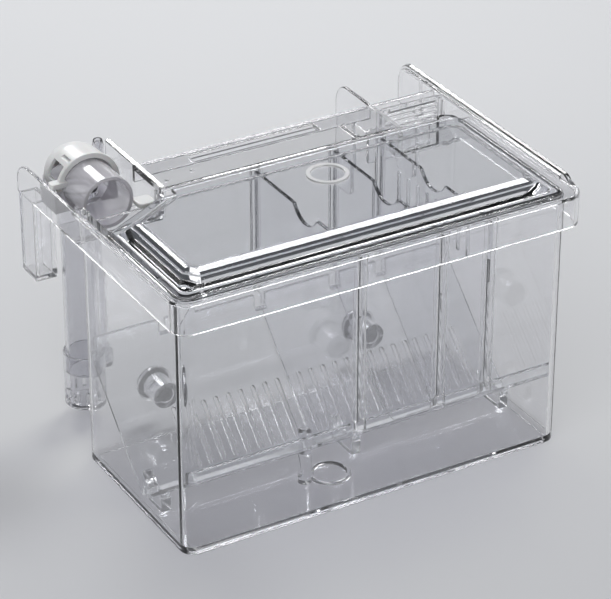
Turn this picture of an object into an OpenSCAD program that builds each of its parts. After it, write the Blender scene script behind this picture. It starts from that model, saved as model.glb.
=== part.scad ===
// Hang-on fish breeding box: a clear tank that hooks over the rim of an aquarium.
// An air-driven lift at the back left brings water in, and it flows back over the spout at the back right.
// Lengths are in millimetres. X runs along the box, the front faces -Y, and the tank stands on Z = 0.
// The modules are drawn from the front left corner of the rim; from_corner() moves them to the part's frame.

/* [Tank] */
// Outer length of the tank
tank_length = 155.5; // [152:0.5:170]
// Outer depth of the tank, front to back
tank_depth = 77.5; // [74:0.5:90]
// Height of the tank's walls
tank_height = 102.5; // [98:0.5:115]
// Thickness of the tank's walls
tank_wall = 2; // [1.6:0.1:2.4]
// Thickness of the tank's floor
floor_thick = 2.5; // [2:0.1:3.5]
// Outer radius of the tank's upright corners
tank_corner = 5; // [4:0.5:6]
// Outer radius of the moulded rings on the floor and the lid
ring_radius = 7.5; // [6:0.5:9]
// Height of the moulded rings
ring_height = 0.8; // [0.5:0.1:1.2]

/* [Rim and hooks] */
// Overhang of the rim past the tank at the front and the left
rim_margin = 2.5; // [2.5:0.1:4]
// Overhang of the rim past the tank at the right
right_margin = 6; // [5:0.5:8]
// Height of the skirt below the top of the rim
skirt_height = 12.5; // [10:0.5:13.5]
// Thickness of the skirt and of the arms
skirt_wall = 1.6; // [1.2:0.1:2]
// Thickness of the webs and of the bridge plate
web_thick = 1.8; // [1.4:0.1:2.4]
// Height of the right arm above the rim
right_bead_height = 3; // [2:0.5:4]
// Depth of the bridge plate behind the tank
bridge_depth = 20.5; // [18:0.5:22]
// Length of the window in the bridge plate
window_length = 52; // [40:1:54]
// Width of the window in the bridge plate
window_width = 4.8; // [4:0.1:7]
// Distance from the left edge of the rim to the bridge window
window_start = 56; // [50:1:58]
// Distance from the back of the tank to the hook legs
hook_gap = 32; // [31:0.5:36]
// Depth of the hook legs, front to back
leg_depth = 13; // [11:0.5:14]
// Distance from the top of the rim down to the end of the legs
leg_drop = 44.5; // [36:0.5:56]
// Width of the left leg's inside
left_leg_width = 5.4; // [4.5:0.1:6]
// Radius of the rounded corner at the back of the arms
arm_corner = 8; // [4:0.5:10]
// Height of the lip along the back edge of the bridge
rear_lip_height = 6.5; // [4:0.5:8]

/* [Lid] */
// Thickness of the lid
lid_thick = 1.5; // [1.2:0.1:2.2]
// Height of the raised panel above the lid's flange
panel_height = 4.2; // [3:0.2:6]
// Distance that the panel's bevel runs inwards
panel_bevel = 5.5; // [4:0.5:7]
// Width of the flange round the raised panel
lid_flange = 3.5; // [3:0.5:6]
// Width of the flange behind the raised panel
lid_back_flange = 7.5; // [4:0.5:9]
// Distance from the edge of the rim to the edge of the lid
lid_inset = 1.5; // [1:0.1:2.2]
// Length of the cut across the lid's back left corner
lid_cut_length = 35.5; // [30:0.5:40]
// Depth of the cut across the lid's back left corner
lid_cut_depth = 19.5; // [12:0.5:24]

/* [Breeding trap] */
// Height of the front plate's upper edge above the tank's floor
trap_front_rise = 27.5; // [22:0.5:34]
// Height of the back plate's upper edge above the tank's floor
trap_back_rise = 45.5; // [40:0.5:50]
// Height of the bottom of the V above the tank's floor
trap_valley_rise = 5.5; // [4.5:0.5:8]
// Distance from the tank's inner front face to the gap at the bottom of the V
trap_valley_depth = 30; // [27:0.5:34]
// Width of the gap that the fry fall through
fry_gap = 3; // [2:0.5:4]
// Thickness of the trap's plates
trap_thick = 1.5; // [1.2:0.1:2]
// Height of the lips along the trap's outer edges
trap_lip = 3; // [2:0.5:4]
// Width of one foot of the trap
foot_width = 4; // [3:0.5:6]
// Reach of a foot in front of the gap and behind it
foot_reach = 6; // [5:0.5:8]
// Number of slots in the back plate
slot_count = 24; // [10:1:25]
// Distance from one slot to the next
slot_pitch = 5.1; // [4:0.1:5.2]
// Width of a slot
slot_width = 1.6; // [1:0.1:2.4]
// Length of a slot, measured along the plate
slot_length = 23; // [16:0.5:28]

/* [Dividers] */
// Distance from the left edge of the rim to the left divider
left_divider_at = 73; // [68:0.5:80]
// Distance from the left edge of the rim to the right divider
right_divider_at = 106; // [92:0.5:112]
// Distance from the left edge of the rim to the partition of the outlet chamber
partition_at = 126; // [120:0.5:129]
// Thickness of the dividers
divider_thick = 1.5; // [1.2:0.1:2]
// Distance from the top of the rim down to the dividers
divider_drop = 3; // [2:0.5:5]
// Radius of the finger bite in a divider's top edge
bite_radius = 9; // [7:0.5:10]
// Depth of the finger bite
bite_depth = 5; // [3:0.5:6]
// Thickness of one guide rib
guide_rib_thick = 1.2; // [1:0.1:1.6]
// Depth of a guide rib, measured from the wall
guide_rib_depth = 1.6; // [1.2:0.1:2]
// Number of slots in the partition
partition_slots = 8; // [4:1:8]
// Height of the slots in the partition
partition_slot_height = 12; // [8:0.5:20]

/* [Water inlet] */
// Width of the inlet trough, from the left arm to the outer face of its wall
trough_width = 34.4; // [34:0.2:38]
// Thickness of the walls and floors of the inlet and the outlet
trough_wall = 1.8; // [1.4:0.1:2.2]
// Depth of the inlet and outlet channels below the top of the rim
channel_depth = 12; // [12:0.5:14]
// Length of the trough's floor behind the tank
trough_floor_length = 13; // [12:0.5:14]
// Outer radius of the lift duct
duct_radius = 9.9; // [9:0.1:10]
// Wall of the lift duct, the bowl and the hood
duct_wall = 1.5; // [1.2:0.1:1.8]
// Outer radius of the hood
hood_radius = 12.5; // [12.2:0.1:12.8]
// Length of the straight part of the hood
hood_straight = 9.5; // [9:0.5:10]
// Side of the hood's window
hood_window = 5.8; // [4:0.2:6]
// Outer radius of the riser tube
riser_radius = 7.2; // [6.2:0.1:7.4]
// Wall of the riser tube
riser_wall = 1.2; // [1:0.1:1.6]
// Height of the lower end of the strainer above the ground
strainer_lift = 6; // [4:0.5:20]
// Height of the strainer's basket
basket_height = 14; // [13:0.5:24]
// Height of the socket above the basket
basket_socket = 8; // [6:0.5:12]
// Number of slots round the strainer
strainer_slots = 10; // [6:1:12]
// Outer radius of the air pipe
air_pipe_radius = 2; // [1.8:0.1:2.2]
// Bore radius of the air pipe and the nozzle
air_bore = 1.1; // [0.8:0.1:1.3]
// Radius of the air nozzle's shank
nozzle_radius = 2.2; // [2:0.1:2.4]
// Length of the air nozzle's shank
nozzle_shank = 6; // [5:0.5:9]
// Length of the nozzle's tapered tip
nozzle_tip = 2.4; // [1.6:0.2:4]

/* [Flow gate] */
// Thickness of the gate
gate_thick = 1.4; // [1.2:0.1:1.8]
// Height of the gate above the channel's floor
gate_height = 6; // [4:0.5:8]
// Side of the square grip
grip_side = 6.8; // [5:0.1:6.9]
// Radius of the grip's corners
grip_corner = 1.8; // [1:0.1:2.2]
// Thickness of the grip
grip_thick = 2; // [1.4:0.1:2.6]

/* [Water outlet] */
// Distance from the left edge of the rim to the middle cheek
cheek_at = 134.2; // [132:0.2:136]
// Length of the spout's floor behind the tank
spout_length = 24; // [22:0.5:27]
// Drop of the spout's lip below the rim
spout_drop = 26.5; // [20:0.5:32]
// Thickness of the outlet grille
grille_thick = 1.6; // [1.4:0.1:2]
// Distance from the back of the tank to the grille
grille_back = 13.5; // [12:0.5:14]
// Number of slots in the grille
grille_slots = 5; // [3:1:5]
// Height of one slot of the grille
grille_slot_height = 1.1; // [0.8:0.1:1.2]

/* [Levelling spacers] */
// Height of the spacers' axes above the ground
spacer_height = 16; // [12:0.5:30]
// Distance from the ends of the tank to the spacers' axes
spacer_inset = 34; // [32:0.5:60]
// Radius of a spacer's rod
spacer_rod_radius = 3; // [2.5:0.1:3.5]
// Length of the socket on the tank's back wall
socket_length = 9; // [8:0.5:10]
// Outer radius of the socket
socket_radius = 5.2; // [4.8:0.1:6]
// Radius of a spacer's head
spacer_head_radius = 7; // [5.5:0.1:8]
// Thickness of a spacer's head
spacer_head_thick = 1.6; // [1.2:0.1:2.4]
// Thickness of a spacer's rubber pad
pad_thick = 1.2; // [0.8:0.1:2]

/* [Locating post] */
// Radius of the post that locates the trap
post_radius = 2.5; // [2:0.1:3]
// Height of the post above the tank's floor
post_height = 22.5; // [20:0.5:26]
// Distance from the left edge of the rim to the post
post_at = 61; // [55:0.5:62]
// Distance from the tank's inner front face to the post
post_depth = 18; // [14:0.5:19]

/* [Clearances] */
// Gap between loose pieces and what guides them
loose_gap = 0.4; // [0.3:0.05:0.5]
// Gap under a piece that rests in a guide
seat_gap = 0.3; // [0.2:0.05:0.4]
// Radial play of a round piece in its socket
slide_play = 0.05; // [0.02:0.01:0.08]

/* [Hidden] */
$fn = 64;
// Overlap that lets a cutting tool pass right through a face
eps = 0.5;

// The tank and the rim, measured from the rim's front left corner
rim_length = rim_margin + tank_length + right_margin;
tank_left = rim_margin;
tank_right = rim_margin + tank_length;
tank_front = rim_margin;
tank_back = rim_margin + tank_depth;
inner_left = tank_left + tank_wall;
inner_right = tank_right - tank_wall;
inner_front = tank_front + tank_wall;
inner_back = tank_back - tank_wall;
inner_corner = tank_corner - tank_wall;
leg_front = tank_back + hook_gap;
hook_back = leg_front + leg_depth;
leg_end = tank_height - leg_drop;
skirt_low = tank_height - skirt_height;
rim_corner_step = 1;
rim_corner = tank_corner + rim_margin - rim_corner_step;
arm_inner_right = rim_length - skirt_wall;
bridge_back = tank_back + bridge_depth;
lip_front = bridge_back - web_thick;
ring_wall = 1.1;
// Depth that ribs, sockets and rings are sunk into the wall that carries them
root_depth = 0.4;

// The channels
channel_floor = tank_height - channel_depth;
channel_low = channel_floor - trough_wall;
trough_right = skirt_wall + trough_width;
trough_inner_right = trough_right - trough_wall;
trough_floor_end = tank_back + trough_floor_length;
guide_depth = 1.2;
guide_width = 1;
guide_short = 1;
guide_top = tank_height - guide_short;

// The flow gate stands in the plane of the tank's back wall, and its grip lies beside the duct
gate_y = tank_back - tank_wall / 2;
gate_front = gate_y - gate_thick / 2;
gate_back = gate_y + gate_thick / 2;
gate_guide_depth = 0.9;
gate_left = inner_left + guide_width + seat_gap;
gate_right = trough_inner_right - seat_gap;
gate_top = channel_floor + gate_height;
grip_right = trough_inner_right - gate_guide_depth - loose_gap;
trough_front = gate_front - loose_gap - guide_width;
gate_guide_back = gate_back + loose_gap + guide_width;

// The lift stands a little left of the trough's middle, which leaves room for the air pipe
lift_shift = 2.3;
lift_gap = 1;
lift_x = (skirt_wall + trough_inner_right) / 2 - lift_shift;
lift_z = channel_floor + seat_gap + duct_radius;
riser_y = trough_floor_end + lift_gap + hood_radius;
hood_front = riser_y - hood_straight;
trough_back = riser_y + hood_radius + lift_gap;
bowl_raise = 1.8;
bowl_floor = channel_floor + bowl_raise;
riser_spigot = 2;
duct_front = gate_guide_back + seat_gap;
duct_end = hood_front + duct_wall;

// The air pipe stands behind the riser, to its right
air_angle = 35;
collar_step = 0.9;
collar_height = 1.2;
collar_radius = air_pipe_radius + collar_step;
air_reach = hood_radius + seat_gap + collar_radius;
air_x = lift_x + air_reach * cos(air_angle);
air_y = riser_y + air_reach * sin(air_angle);
ear_wall = 1.4;
ear_radius = air_pipe_radius + ear_wall;
ear_height = 4;
ear_raise = 2;
ear_low = bowl_floor + ear_raise;
ear_top = ear_low + ear_height;
strainer_step = 1;
strainer_radius = riser_radius + strainer_step;
basket_top = strainer_lift + basket_height;
air_arm_height = 6;
air_arm_low = basket_top - air_arm_height;
air_port = 0.8;
air_port_rise = 1.2;
air_web = 3;
air_socket_floor = 2;
strainer_slot_width = 1.6;
strainer_slot_rise = 2.5;
strainer_slot_drop = 1;

// The outlet chamber
cheek_right = cheek_at + skirt_wall;
notch_right = tank_right - tank_corner;
grille_y = tank_back + grille_back;
grille_left = cheek_right + loose_gap;
grille_right = arm_inner_right - loose_gap;
grille_low = channel_floor + seat_gap;
grille_rise = 0.6;
grille_top = tank_height + grille_rise;
grille_frame = 2.2;
grille_bar = 1.6;
grille_lip = 1;
grille_first = 1;
spout_end = tank_back + spout_length;
spout_bend = 2.4;
bridge_rib_length = 10;
bridge_rib_from_cheek = 18.5;

// The lid
lid_top = tank_height + lid_thick;
lid_right_gap = 1;
lid_right = tank_right - lid_right_gap;
lid_back_gap = 3.5;
lid_back = inner_back - lid_back_gap;
lid_radius = rim_corner - lid_inset;
lid_notch_gap = 1;
lid_notch_right = trough_right + lid_notch_gap;
lid_notch_depth = 4;
lid_notch_front = lid_back - lid_notch_depth;
lid_cut_angle = atan(lid_cut_depth / lid_cut_length);
lid_ring_right = 7;
lid_ring_behind = 11;
lid_ring_x = (lid_inset + lid_right) / 2 + lid_ring_right;
lid_ring_y = (lid_inset + lid_back) / 2 + lid_ring_behind;
panel_foot_step = 1.5;
panel_top_step = 2.5;

// The trap
trap_left = inner_left + loose_gap;
trap_right = inner_right - loose_gap;
trap_front_y = inner_front + loose_gap;
trap_back_y = inner_back - loose_gap;
valley_y = inner_front + trap_valley_depth;
valley_end = valley_y + fry_gap;
valley_z = floor_thick + trap_valley_rise;
front_z = floor_thick + trap_front_rise;
back_z = floor_thick + trap_back_rise;
front_slope = (front_z - valley_z) / (valley_y - trap_front_y);
back_slope = (back_z - valley_z) / (trap_back_y - valley_end);
front_angle = atan(front_slope);
back_angle = atan(back_slope);
front_upright_thick = trap_thick / cos(front_angle);
back_upright_thick = trap_thick / cos(back_angle);
slot_from_gap = 3;
slot_shift = 6;
slot_left = (trap_left + trap_right - (slot_count - 1) * slot_pitch) / 2 + slot_shift;
foot_bridge = 0.4;
foot_inset = 3;
post_y = inner_front + post_depth;

// The dividers and the ribs that guide them
divider_places = [left_divider_at, right_divider_at, partition_at];
divider_top = tank_height - divider_drop;
divider_middle = (inner_front + inner_back) / 2;
guide_pair = divider_thick + 2 * loose_gap + 2 * guide_rib_thick;
guide_foot_gap = 1;
guide_low_front = front_z + trap_lip + guide_foot_gap;
guide_low_back = back_z + trap_lip + guide_foot_gap;
partition_slot_width = 1.4;
partition_slot_pitch = 6.4;
partition_slot_drop = 3;

// Moves a piece drawn from the rim's front left corner into the part's frame
module from_corner() {
    translate([-rim_length / 2, -hook_back / 2, 0])
        children();
}

// Extrudes an outline drawn in depth and height along X
module along_x(start, length) {
    translate([start, 0, 0])
        rotate([90, 0, 90])
            linear_extrude(length)
                children();
}

// A rectangle with round corners, made of true arcs
module round_rect(low, high, r) {
    translate([low[0] + r, low[1]])
        square([high[0] - low[0] - 2 * r, high[1] - low[1]]);
    translate([low[0], low[1] + r])
        square([high[0] - low[0], high[1] - low[1] - 2 * r]);
    for (x = [low[0] + r, high[0] - r], y = [low[1] + r, high[1] - r])
        translate([x, y])
            circle(r);
}

// A box given by its low and high corners
module block(low, high) {
    translate(low)
        cube([high[0] - low[0], high[1] - low[1], high[2] - low[2]]);
}

// A tube that stands upright, with its axis at x, y
module upright_tube(x, y, low, high, outer, inner) {
    translate([x, y, low])
        difference() {
            cylinder(r = outer, h = high - low);
            translate([0, 0, -eps])
                cylinder(r = inner, h = high - low + 2 * eps);
        }
}

// A rod that lies along Y, with its axis at x, z
module lying_rod(x, z, front, back, r) {
    translate([x, back, z])
        rotate([90, 0, 0])
            cylinder(r = r, h = back - front);
}

// A tube that lies along Y, with its axis at x, z
module lying_tube(x, z, front, back, outer, inner) {
    difference() {
        lying_rod(x, z, front, back, outer);
        lying_rod(x, z, front - eps, back + eps, inner);
    }
}

// The tank's outline, as a solid of the given height
module tank_block(height) {
    linear_extrude(height)
        round_rect([tank_left, tank_front], [tank_right, tank_back], tank_corner);
}

// A low ring, such as a mould leaves round its gate
module moulded_ring(x, y, z) {
    upright_tube(x, y, z - root_depth, z + ring_height, ring_radius, ring_radius - ring_wall);
}

// Two ribs that hold a divider's edge; way is 1 on the front wall and -1 on the back wall
module guide_ribs(x, wall_y, way, low) {
    for (side = [-1, 1])
        translate([x + side * (guide_pair - guide_rib_thick) / 2, wall_y + way * (guide_rib_depth - root_depth) / 2,
                   (low + tank_height) / 2])
            cube([guide_rib_thick, guide_rib_depth + root_depth, tank_height - low], center = true);
}

module tank_walls() {
    difference() {
        tank_block(tank_height);
        translate([0, 0, floor_thick])
            linear_extrude(tank_height)
                round_rect([inner_left, inner_front], [inner_right, inner_back], inner_corner);
        block([inner_left, tank_back - tank_corner, channel_floor],
              [trough_right, tank_back + eps, tank_height + eps]);
        block([cheek_right, inner_back - eps, channel_floor],
              [notch_right, tank_back + eps, tank_height + eps]);
    }
}

module tank() {
    color([0.86, 0.88, 0.92, 0.35])
        from_corner() {
            tank_walls();
            for (x = divider_places) {
                guide_ribs(x, inner_front, 1, guide_low_front);
                guide_ribs(x, inner_back, -1, guide_low_back);
            }
            for (x = [tank_left + spacer_inset, tank_right - spacer_inset])
                lying_tube(x, spacer_height, tank_back - root_depth, tank_back + socket_length, socket_radius,
                           spacer_rod_radius + slide_play);
            moulded_ring(post_at + ring_radius + post_radius, post_y, floor_thick);
        }
}

module front_skirt() {
    color([0.82, 0.84, 0.9, 0.45])
        from_corner()
            along_x(rim_corner, rim_length - 2 * rim_corner)
                polygon([
                    [0, skirt_low], [skirt_wall, skirt_low],
                    [skirt_wall, tank_height - web_thick], [tank_front, tank_height - web_thick],
                    [tank_front, tank_height], [0, tank_height]
                ]);
}

// The rounded front corner of the skirt, with its web; the span is from one x to the other
module skirt_corner(centre_x, from_x, to_x) {
    difference() {
        intersection() {
            translate([centre_x, rim_corner, skirt_low])
                cylinder(r = rim_corner, h = skirt_height);
            block([from_x, 0, skirt_low], [to_x, rim_corner, tank_height]);
        }
        translate([centre_x, rim_corner, skirt_low - eps])
            cylinder(r = rim_corner - skirt_wall, h = skirt_height - web_thick + eps);
        translate([0, 0, -eps])
            tank_block(tank_height + 2 * eps);
    }
}

// Outline of an arm in depth and height; its top corner at the back is round
module arm_outline(start, bottom, top, leg_bottom) {
    translate([start, bottom])
        square([hook_back - arm_corner - start, top - bottom]);
    translate([leg_front, leg_bottom])
        square([leg_depth, top - arm_corner - leg_bottom]);
    intersection() {
        translate([hook_back - arm_corner, top - arm_corner])
            circle(arm_corner);
        translate([leg_front, top - arm_corner])
            square([leg_depth, arm_corner]);
    }
}

module left_arm() {
    color([0.82, 0.84, 0.9, 0.45])
        from_corner() {
            skirt_corner(rim_corner, 0, rim_corner);
            along_x(0, skirt_wall)
                arm_outline(rim_corner, skirt_low, tank_height, skirt_low);
            difference() {
                block([skirt_wall, rim_corner, tank_height - web_thick], [inner_left, tank_back, tank_height]);
                translate([0, 0, -eps])
                    tank_block(tank_height + 2 * eps);
            }
        }
}

module right_arm() {
    bead_ramp = 6;
    color([0.82, 0.84, 0.9, 0.45])
        from_corner() {
            skirt_corner(rim_length - rim_corner, rim_length - rim_corner, rim_length);
            difference() {
                along_x(arm_inner_right, skirt_wall)
                    arm_outline(rim_corner, skirt_low, tank_height + right_bead_height, leg_end);
                along_x(arm_inner_right - eps, skirt_wall + 2 * eps)
                    polygon([
                        [0, tank_height], [rim_corner, tank_height],
                        [rim_corner + bead_ramp, tank_height + right_bead_height],
                        [rim_corner + bead_ramp, tank_height + 2 * right_bead_height],
                        [0, tank_height + 2 * right_bead_height]
                    ]);
            }
            block([tank_right, rim_corner, tank_height - web_thick],
                  [arm_inner_right, tank_back - tank_corner, tank_height]);
            grille_guides(arm_inner_right - guide_depth, arm_inner_right);
        }
}

// Two upright ribs on each side of the grille's edge
module grille_guides(from_x, to_x) {
    for (y = [grille_y - grille_thick / 2 - loose_gap - guide_width, grille_y + grille_thick / 2 + loose_gap])
        block([from_x, y, channel_floor], [to_x, y + guide_width, guide_top]);
}

module bridge_plate() {
    window_margin = 2;
    window_back = lip_front - window_margin;
    rib_x = cheek_at - bridge_rib_from_cheek;
    rib_height = 1;
    color([0.84, 0.86, 0.92, 0.4])
        from_corner() {
            difference() {
                block([trough_right, tank_back, tank_height - web_thick], [cheek_at, lip_front, tank_height]);
                block([window_start, window_back - window_width, 0],
                      [window_start + window_length, window_back, tank_height + eps]);
            }
            block([rib_x, tank_back, tank_height - root_depth],
                  [rib_x + trough_wall, tank_back + bridge_rib_length, tank_height + rib_height]);
        }
}

module rear_bar() {
    outlet_bar_height = 3;
    color([0.84, 0.86, 0.92, 0.45])
        from_corner() {
            block([trough_right, lip_front, tank_height - rear_lip_height], [cheek_at, bridge_back, tank_height]);
            block([cheek_right, lip_front, tank_height - outlet_bar_height],
                  [arm_inner_right, bridge_back, tank_height]);
        }
}

module left_leg() {
    right = skirt_wall + left_leg_width + skirt_wall;
    back_step = 1;
    back = hook_back - back_step;
    color([0.84, 0.88, 0.9, 0.45])
        from_corner()
            difference() {
                block([0, leg_front, leg_end], [right, back, skirt_low]);
                block([skirt_wall, leg_front + skirt_wall, leg_end + skirt_wall],
                      [skirt_wall + left_leg_width, back - skirt_wall, skirt_low + eps]);
            }
}

module outlet_cheek() {
    color([0.82, 0.84, 0.9, 0.45])
        from_corner() {
            along_x(cheek_at, skirt_wall)
                arm_outline(tank_back, channel_low, tank_height, leg_end);
            grille_guides(cheek_right, cheek_right + guide_depth);
        }
}

module outlet_spout() {
    lip_low = tank_height - spout_drop;
    color([0.84, 0.88, 0.92, 0.4])
        from_corner() {
            along_x(cheek_right, arm_inner_right - cheek_right)
                polygon([
                    [tank_back, channel_low], [spout_end - trough_wall - spout_bend, channel_low],
                    [spout_end - trough_wall, channel_low - spout_bend], [spout_end - trough_wall, lip_low],
                    [spout_end, lip_low], [spout_end, channel_floor - spout_bend],
                    [spout_end - spout_bend, channel_floor], [tank_back, channel_floor]
                ]);
        }
}

module outlet_grille() {
    front = grille_y - grille_thick / 2;
    back = grille_y + grille_thick / 2;
    pitch = (grille_top - grille_low - grille_bar) / grille_slots;
    color([0.8, 0.82, 0.86, 0.6])
        from_corner()
            difference() {
                union() {
                    block([grille_left, front, grille_low], [grille_right, back, grille_top]);
                    block([grille_left + grille_frame, front - grille_lip, grille_top - grille_bar],
                          [grille_right - grille_frame, back, grille_top]);
                }
                for (i = [0 : grille_slots - 1])
                    translate([0, 0, grille_low + grille_first + i * pitch])
                        block([grille_left + grille_frame, front - grille_lip - eps, 0],
                              [grille_right - grille_frame, back + eps, grille_slot_height]);
            }
}

module inlet_trough() {
    leg_right = 2 * skirt_wall + left_leg_width;
    leg_gap = 1;
    back_wall_height = 5;
    color([0.84, 0.86, 0.92, 0.45])
        from_corner() {
            block([skirt_wall, tank_back, channel_low], [trough_right, trough_floor_end, channel_floor]);
            block([leg_right + leg_gap, trough_back, channel_low],
                  [trough_right, trough_back + trough_wall, channel_floor + back_wall_height]);
            // The side walls stand on the tank's back wall, and reach the floor's underside behind it
            for (start = [[trough_front, channel_floor], [tank_back, channel_low]]) {
                block([trough_inner_right, start[0], start[1]], [trough_right, trough_back + trough_wall, lid_top]);
                block([inner_left, start[0], start[1]], [inner_left + guide_width, gate_guide_back, guide_top]);
            }
            for (y = [trough_front, gate_guide_back - guide_width]) {
                block([trough_inner_right - gate_guide_depth, y, channel_floor],
                      [trough_right, y + guide_width, guide_top]);
                block([inner_left, y, channel_floor],
                      [inner_left + guide_width + gate_guide_depth, y + guide_width, guide_top]);
            }
        }
}

// Plan of the bowl: a half disc behind and a straight part in front
module lift_plan(inset) {
    translate([lift_x, riser_y])
        intersection() {
            circle(hood_radius - inset);
            translate([-hood_radius, 0])
                square([2 * hood_radius, hood_radius]);
        }
    translate([lift_x - hood_radius + inset, hood_front + inset])
        square([2 * (hood_radius - inset), hood_straight - inset]);
}

module lift_bowl() {
    color([0.8, 0.8, 0.84, 0.6])
        from_corner() {
            difference() {
                translate([0, 0, bowl_floor])
                    linear_extrude(lift_z - seat_gap - bowl_floor)
                        lift_plan(0);
                translate([0, 0, bowl_floor + duct_wall])
                    linear_extrude(duct_radius)
                        lift_plan(duct_wall);
                translate([lift_x, riser_y, bowl_floor - eps])
                    cylinder(r = riser_radius + slide_play, h = duct_wall + 2 * eps);
                lying_rod(lift_x, lift_z, hood_front - eps, duct_end + eps, duct_radius + slide_play);
            }
            difference() {
                translate([air_x, air_y, ear_low])
                    cylinder(r = ear_radius, h = ear_height);
                translate([lift_x, riser_y, ear_low - eps])
                    cylinder(r = hood_radius - duct_wall / 2, h = ear_height + 2 * eps);
                translate([air_x, air_y, ear_low - eps])
                    cylinder(r = air_pipe_radius + slide_play, h = ear_height + 2 * eps);
            }
        }
}

module lift_duct() {
    color([0.8, 0.8, 0.84, 0.6])
        from_corner()
            lying_tube(lift_x, lift_z, duct_front, duct_end, duct_radius, duct_radius - duct_wall);
}

// A half cylinder that ends in a quarter ball, above the lift's axis
module hood_form(radius, front) {
    intersection() {
        union() {
            translate([lift_x, riser_y, lift_z])
                sphere(r = radius);
            lying_rod(lift_x, lift_z, front, riser_y, radius);
        }
        block([lift_x - hood_radius, front, lift_z],
              [lift_x + hood_radius, riser_y + hood_radius, lift_z + hood_radius]);
    }
}

module lift_hood() {
    window_behind = 3.4;
    slot_height = 1.2;
    tab_front = 1.4;
    tab_reach = 2.2;
    tab_thick = 2;
    window_y = hood_front + window_behind;
    window_z = lift_z + slot_height;
    slot_z = window_z + hood_window + slot_height;
    tab_low = tank_height + seat_gap;
    color("white")
        from_corner() {
            difference() {
                hood_form(hood_radius, hood_front);
                translate([0, 0, -0.01])
                    hood_form(hood_radius - duct_wall, hood_front + duct_wall);
                lying_rod(lift_x, lift_z, hood_front - eps, hood_front + duct_wall + eps,
                          duct_radius + loose_gap);
                block([lift_x - hood_radius - eps, window_y, window_z],
                      [lift_x - hood_radius / 2, window_y + hood_window, window_z + hood_window]);
                block([lift_x - hood_radius - eps, window_y, slot_z],
                      [lift_x - hood_radius / 4, window_y + hood_window, slot_z + slot_height]);
            }
            difference() {
                block([skirt_wall / 4, hood_front - tab_front, tab_low],
                      [lift_x - duct_radius + duct_wall, hood_front + tab_reach, tab_low + tab_thick]);
                lying_rod(lift_x, lift_z, hood_front - tab_front - eps, hood_front + duct_wall,
                          duct_radius + loose_gap);
                hood_form(hood_radius - duct_wall, hood_front + duct_wall);
            }
        }
}

module riser_tube() {
    color([0.86, 0.88, 0.9, 0.5])
        from_corner()
            upright_tube(lift_x, riser_y, basket_top, bowl_floor + duct_wall + riser_spigot, riser_radius,
                         riser_radius - riser_wall);
}

module intake_strainer() {
    slot_low = strainer_lift + strainer_slot_rise;
    slot_high = air_arm_low - strainer_slot_drop;
    bore = riser_radius - riser_wall;
    color([0.78, 0.8, 0.84, 0.7])
        from_corner()
            difference() {
                union() {
                    translate([lift_x, riser_y, strainer_lift])
                        cylinder(r = strainer_radius, h = basket_height + basket_socket);
                    translate([air_x, air_y, air_arm_low])
                        cylinder(r = ear_radius, h = air_arm_height);
                    translate([lift_x, riser_y, air_arm_low])
                        rotate([0, 0, air_angle])
                            translate([riser_radius, -air_web / 2, 0])
                                cube([air_reach - riser_radius, air_web, air_arm_height]);
                }
                translate([lift_x, riser_y, strainer_lift + riser_wall])
                    cylinder(r = bore, h = basket_height);
                translate([lift_x, riser_y, basket_top])
                    cylinder(r = riser_radius + slide_play, h = basket_socket + eps);
                translate([air_x, air_y, air_arm_low + air_socket_floor])
                    cylinder(r = air_pipe_radius + slide_play, h = air_arm_height);
                translate([lift_x, riser_y, air_arm_low + air_port_rise])
                    rotate([0, 90, air_angle])
                        translate([0, 0, bore - eps])
                            cylinder(r = air_port, h = air_reach - bore + eps);
                for (i = [0 : strainer_slots - 1])
                    translate([lift_x, riser_y, (slot_low + slot_high) / 2])
                        rotate([0, 0, i * 360 / strainer_slots])
                            translate([strainer_radius, 0, 0])
                                cube([2 * (strainer_radius - bore + eps), strainer_slot_width,
                                      slot_high - slot_low], center = true);
            }
}

module air_pipe() {
    color([0.84, 0.86, 0.9, 0.6])
        from_corner()
            upright_tube(air_x, air_y, air_arm_low + air_socket_floor, ear_top, air_pipe_radius, air_bore);
}

module air_nozzle() {
    tip_step = 0.5;
    shank_top = collar_height + nozzle_shank;
    color([0.9, 0.9, 0.92, 0.7])
        from_corner()
            translate([air_x, air_y, ear_top])
                difference() {
                    rotate_extrude()
                        polygon([
                            [0, 0], [collar_radius, 0], [collar_radius, collar_height],
                            [nozzle_radius, collar_height], [nozzle_radius, shank_top],
                            [nozzle_radius - tip_step, shank_top + nozzle_tip], [0, shank_top + nozzle_tip]
                        ]);
                    translate([0, 0, -eps])
                        cylinder(r = air_bore, h = shank_top + nozzle_tip + 2 * eps);
                }
}

module flow_gate() {
    color([0.85, 0.87, 0.92, 0.5])
        from_corner()
            block([gate_left, gate_front, channel_floor + seat_gap], [gate_right, gate_back, gate_top]);
}

module gate_grip() {
    color("white")
        from_corner()
            translate([0, 0, gate_top])
                linear_extrude(grip_thick)
                    round_rect([grip_right - grip_side, inner_back], [grip_right, inner_back + grip_side],
                               grip_corner);
}

// The lid's outline with its back left corner cut across; inset moves every side inwards
module lid_outline(inset, back_inset, r) {
    left = lid_inset + inset;
    back = lid_back - back_inset;
    cut_y = lid_back - lid_cut_depth - inset * (1 - sin(lid_cut_angle)) / cos(lid_cut_angle);
    cut_x = left + (back - cut_y) / tan(lid_cut_angle);
    intersection() {
        round_rect([left, left], [lid_right - inset, back], r);
        polygon([[left, 0], [lid_right, 0], [lid_right, back], [cut_x, back], [left, cut_y]]);
    }
}

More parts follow.
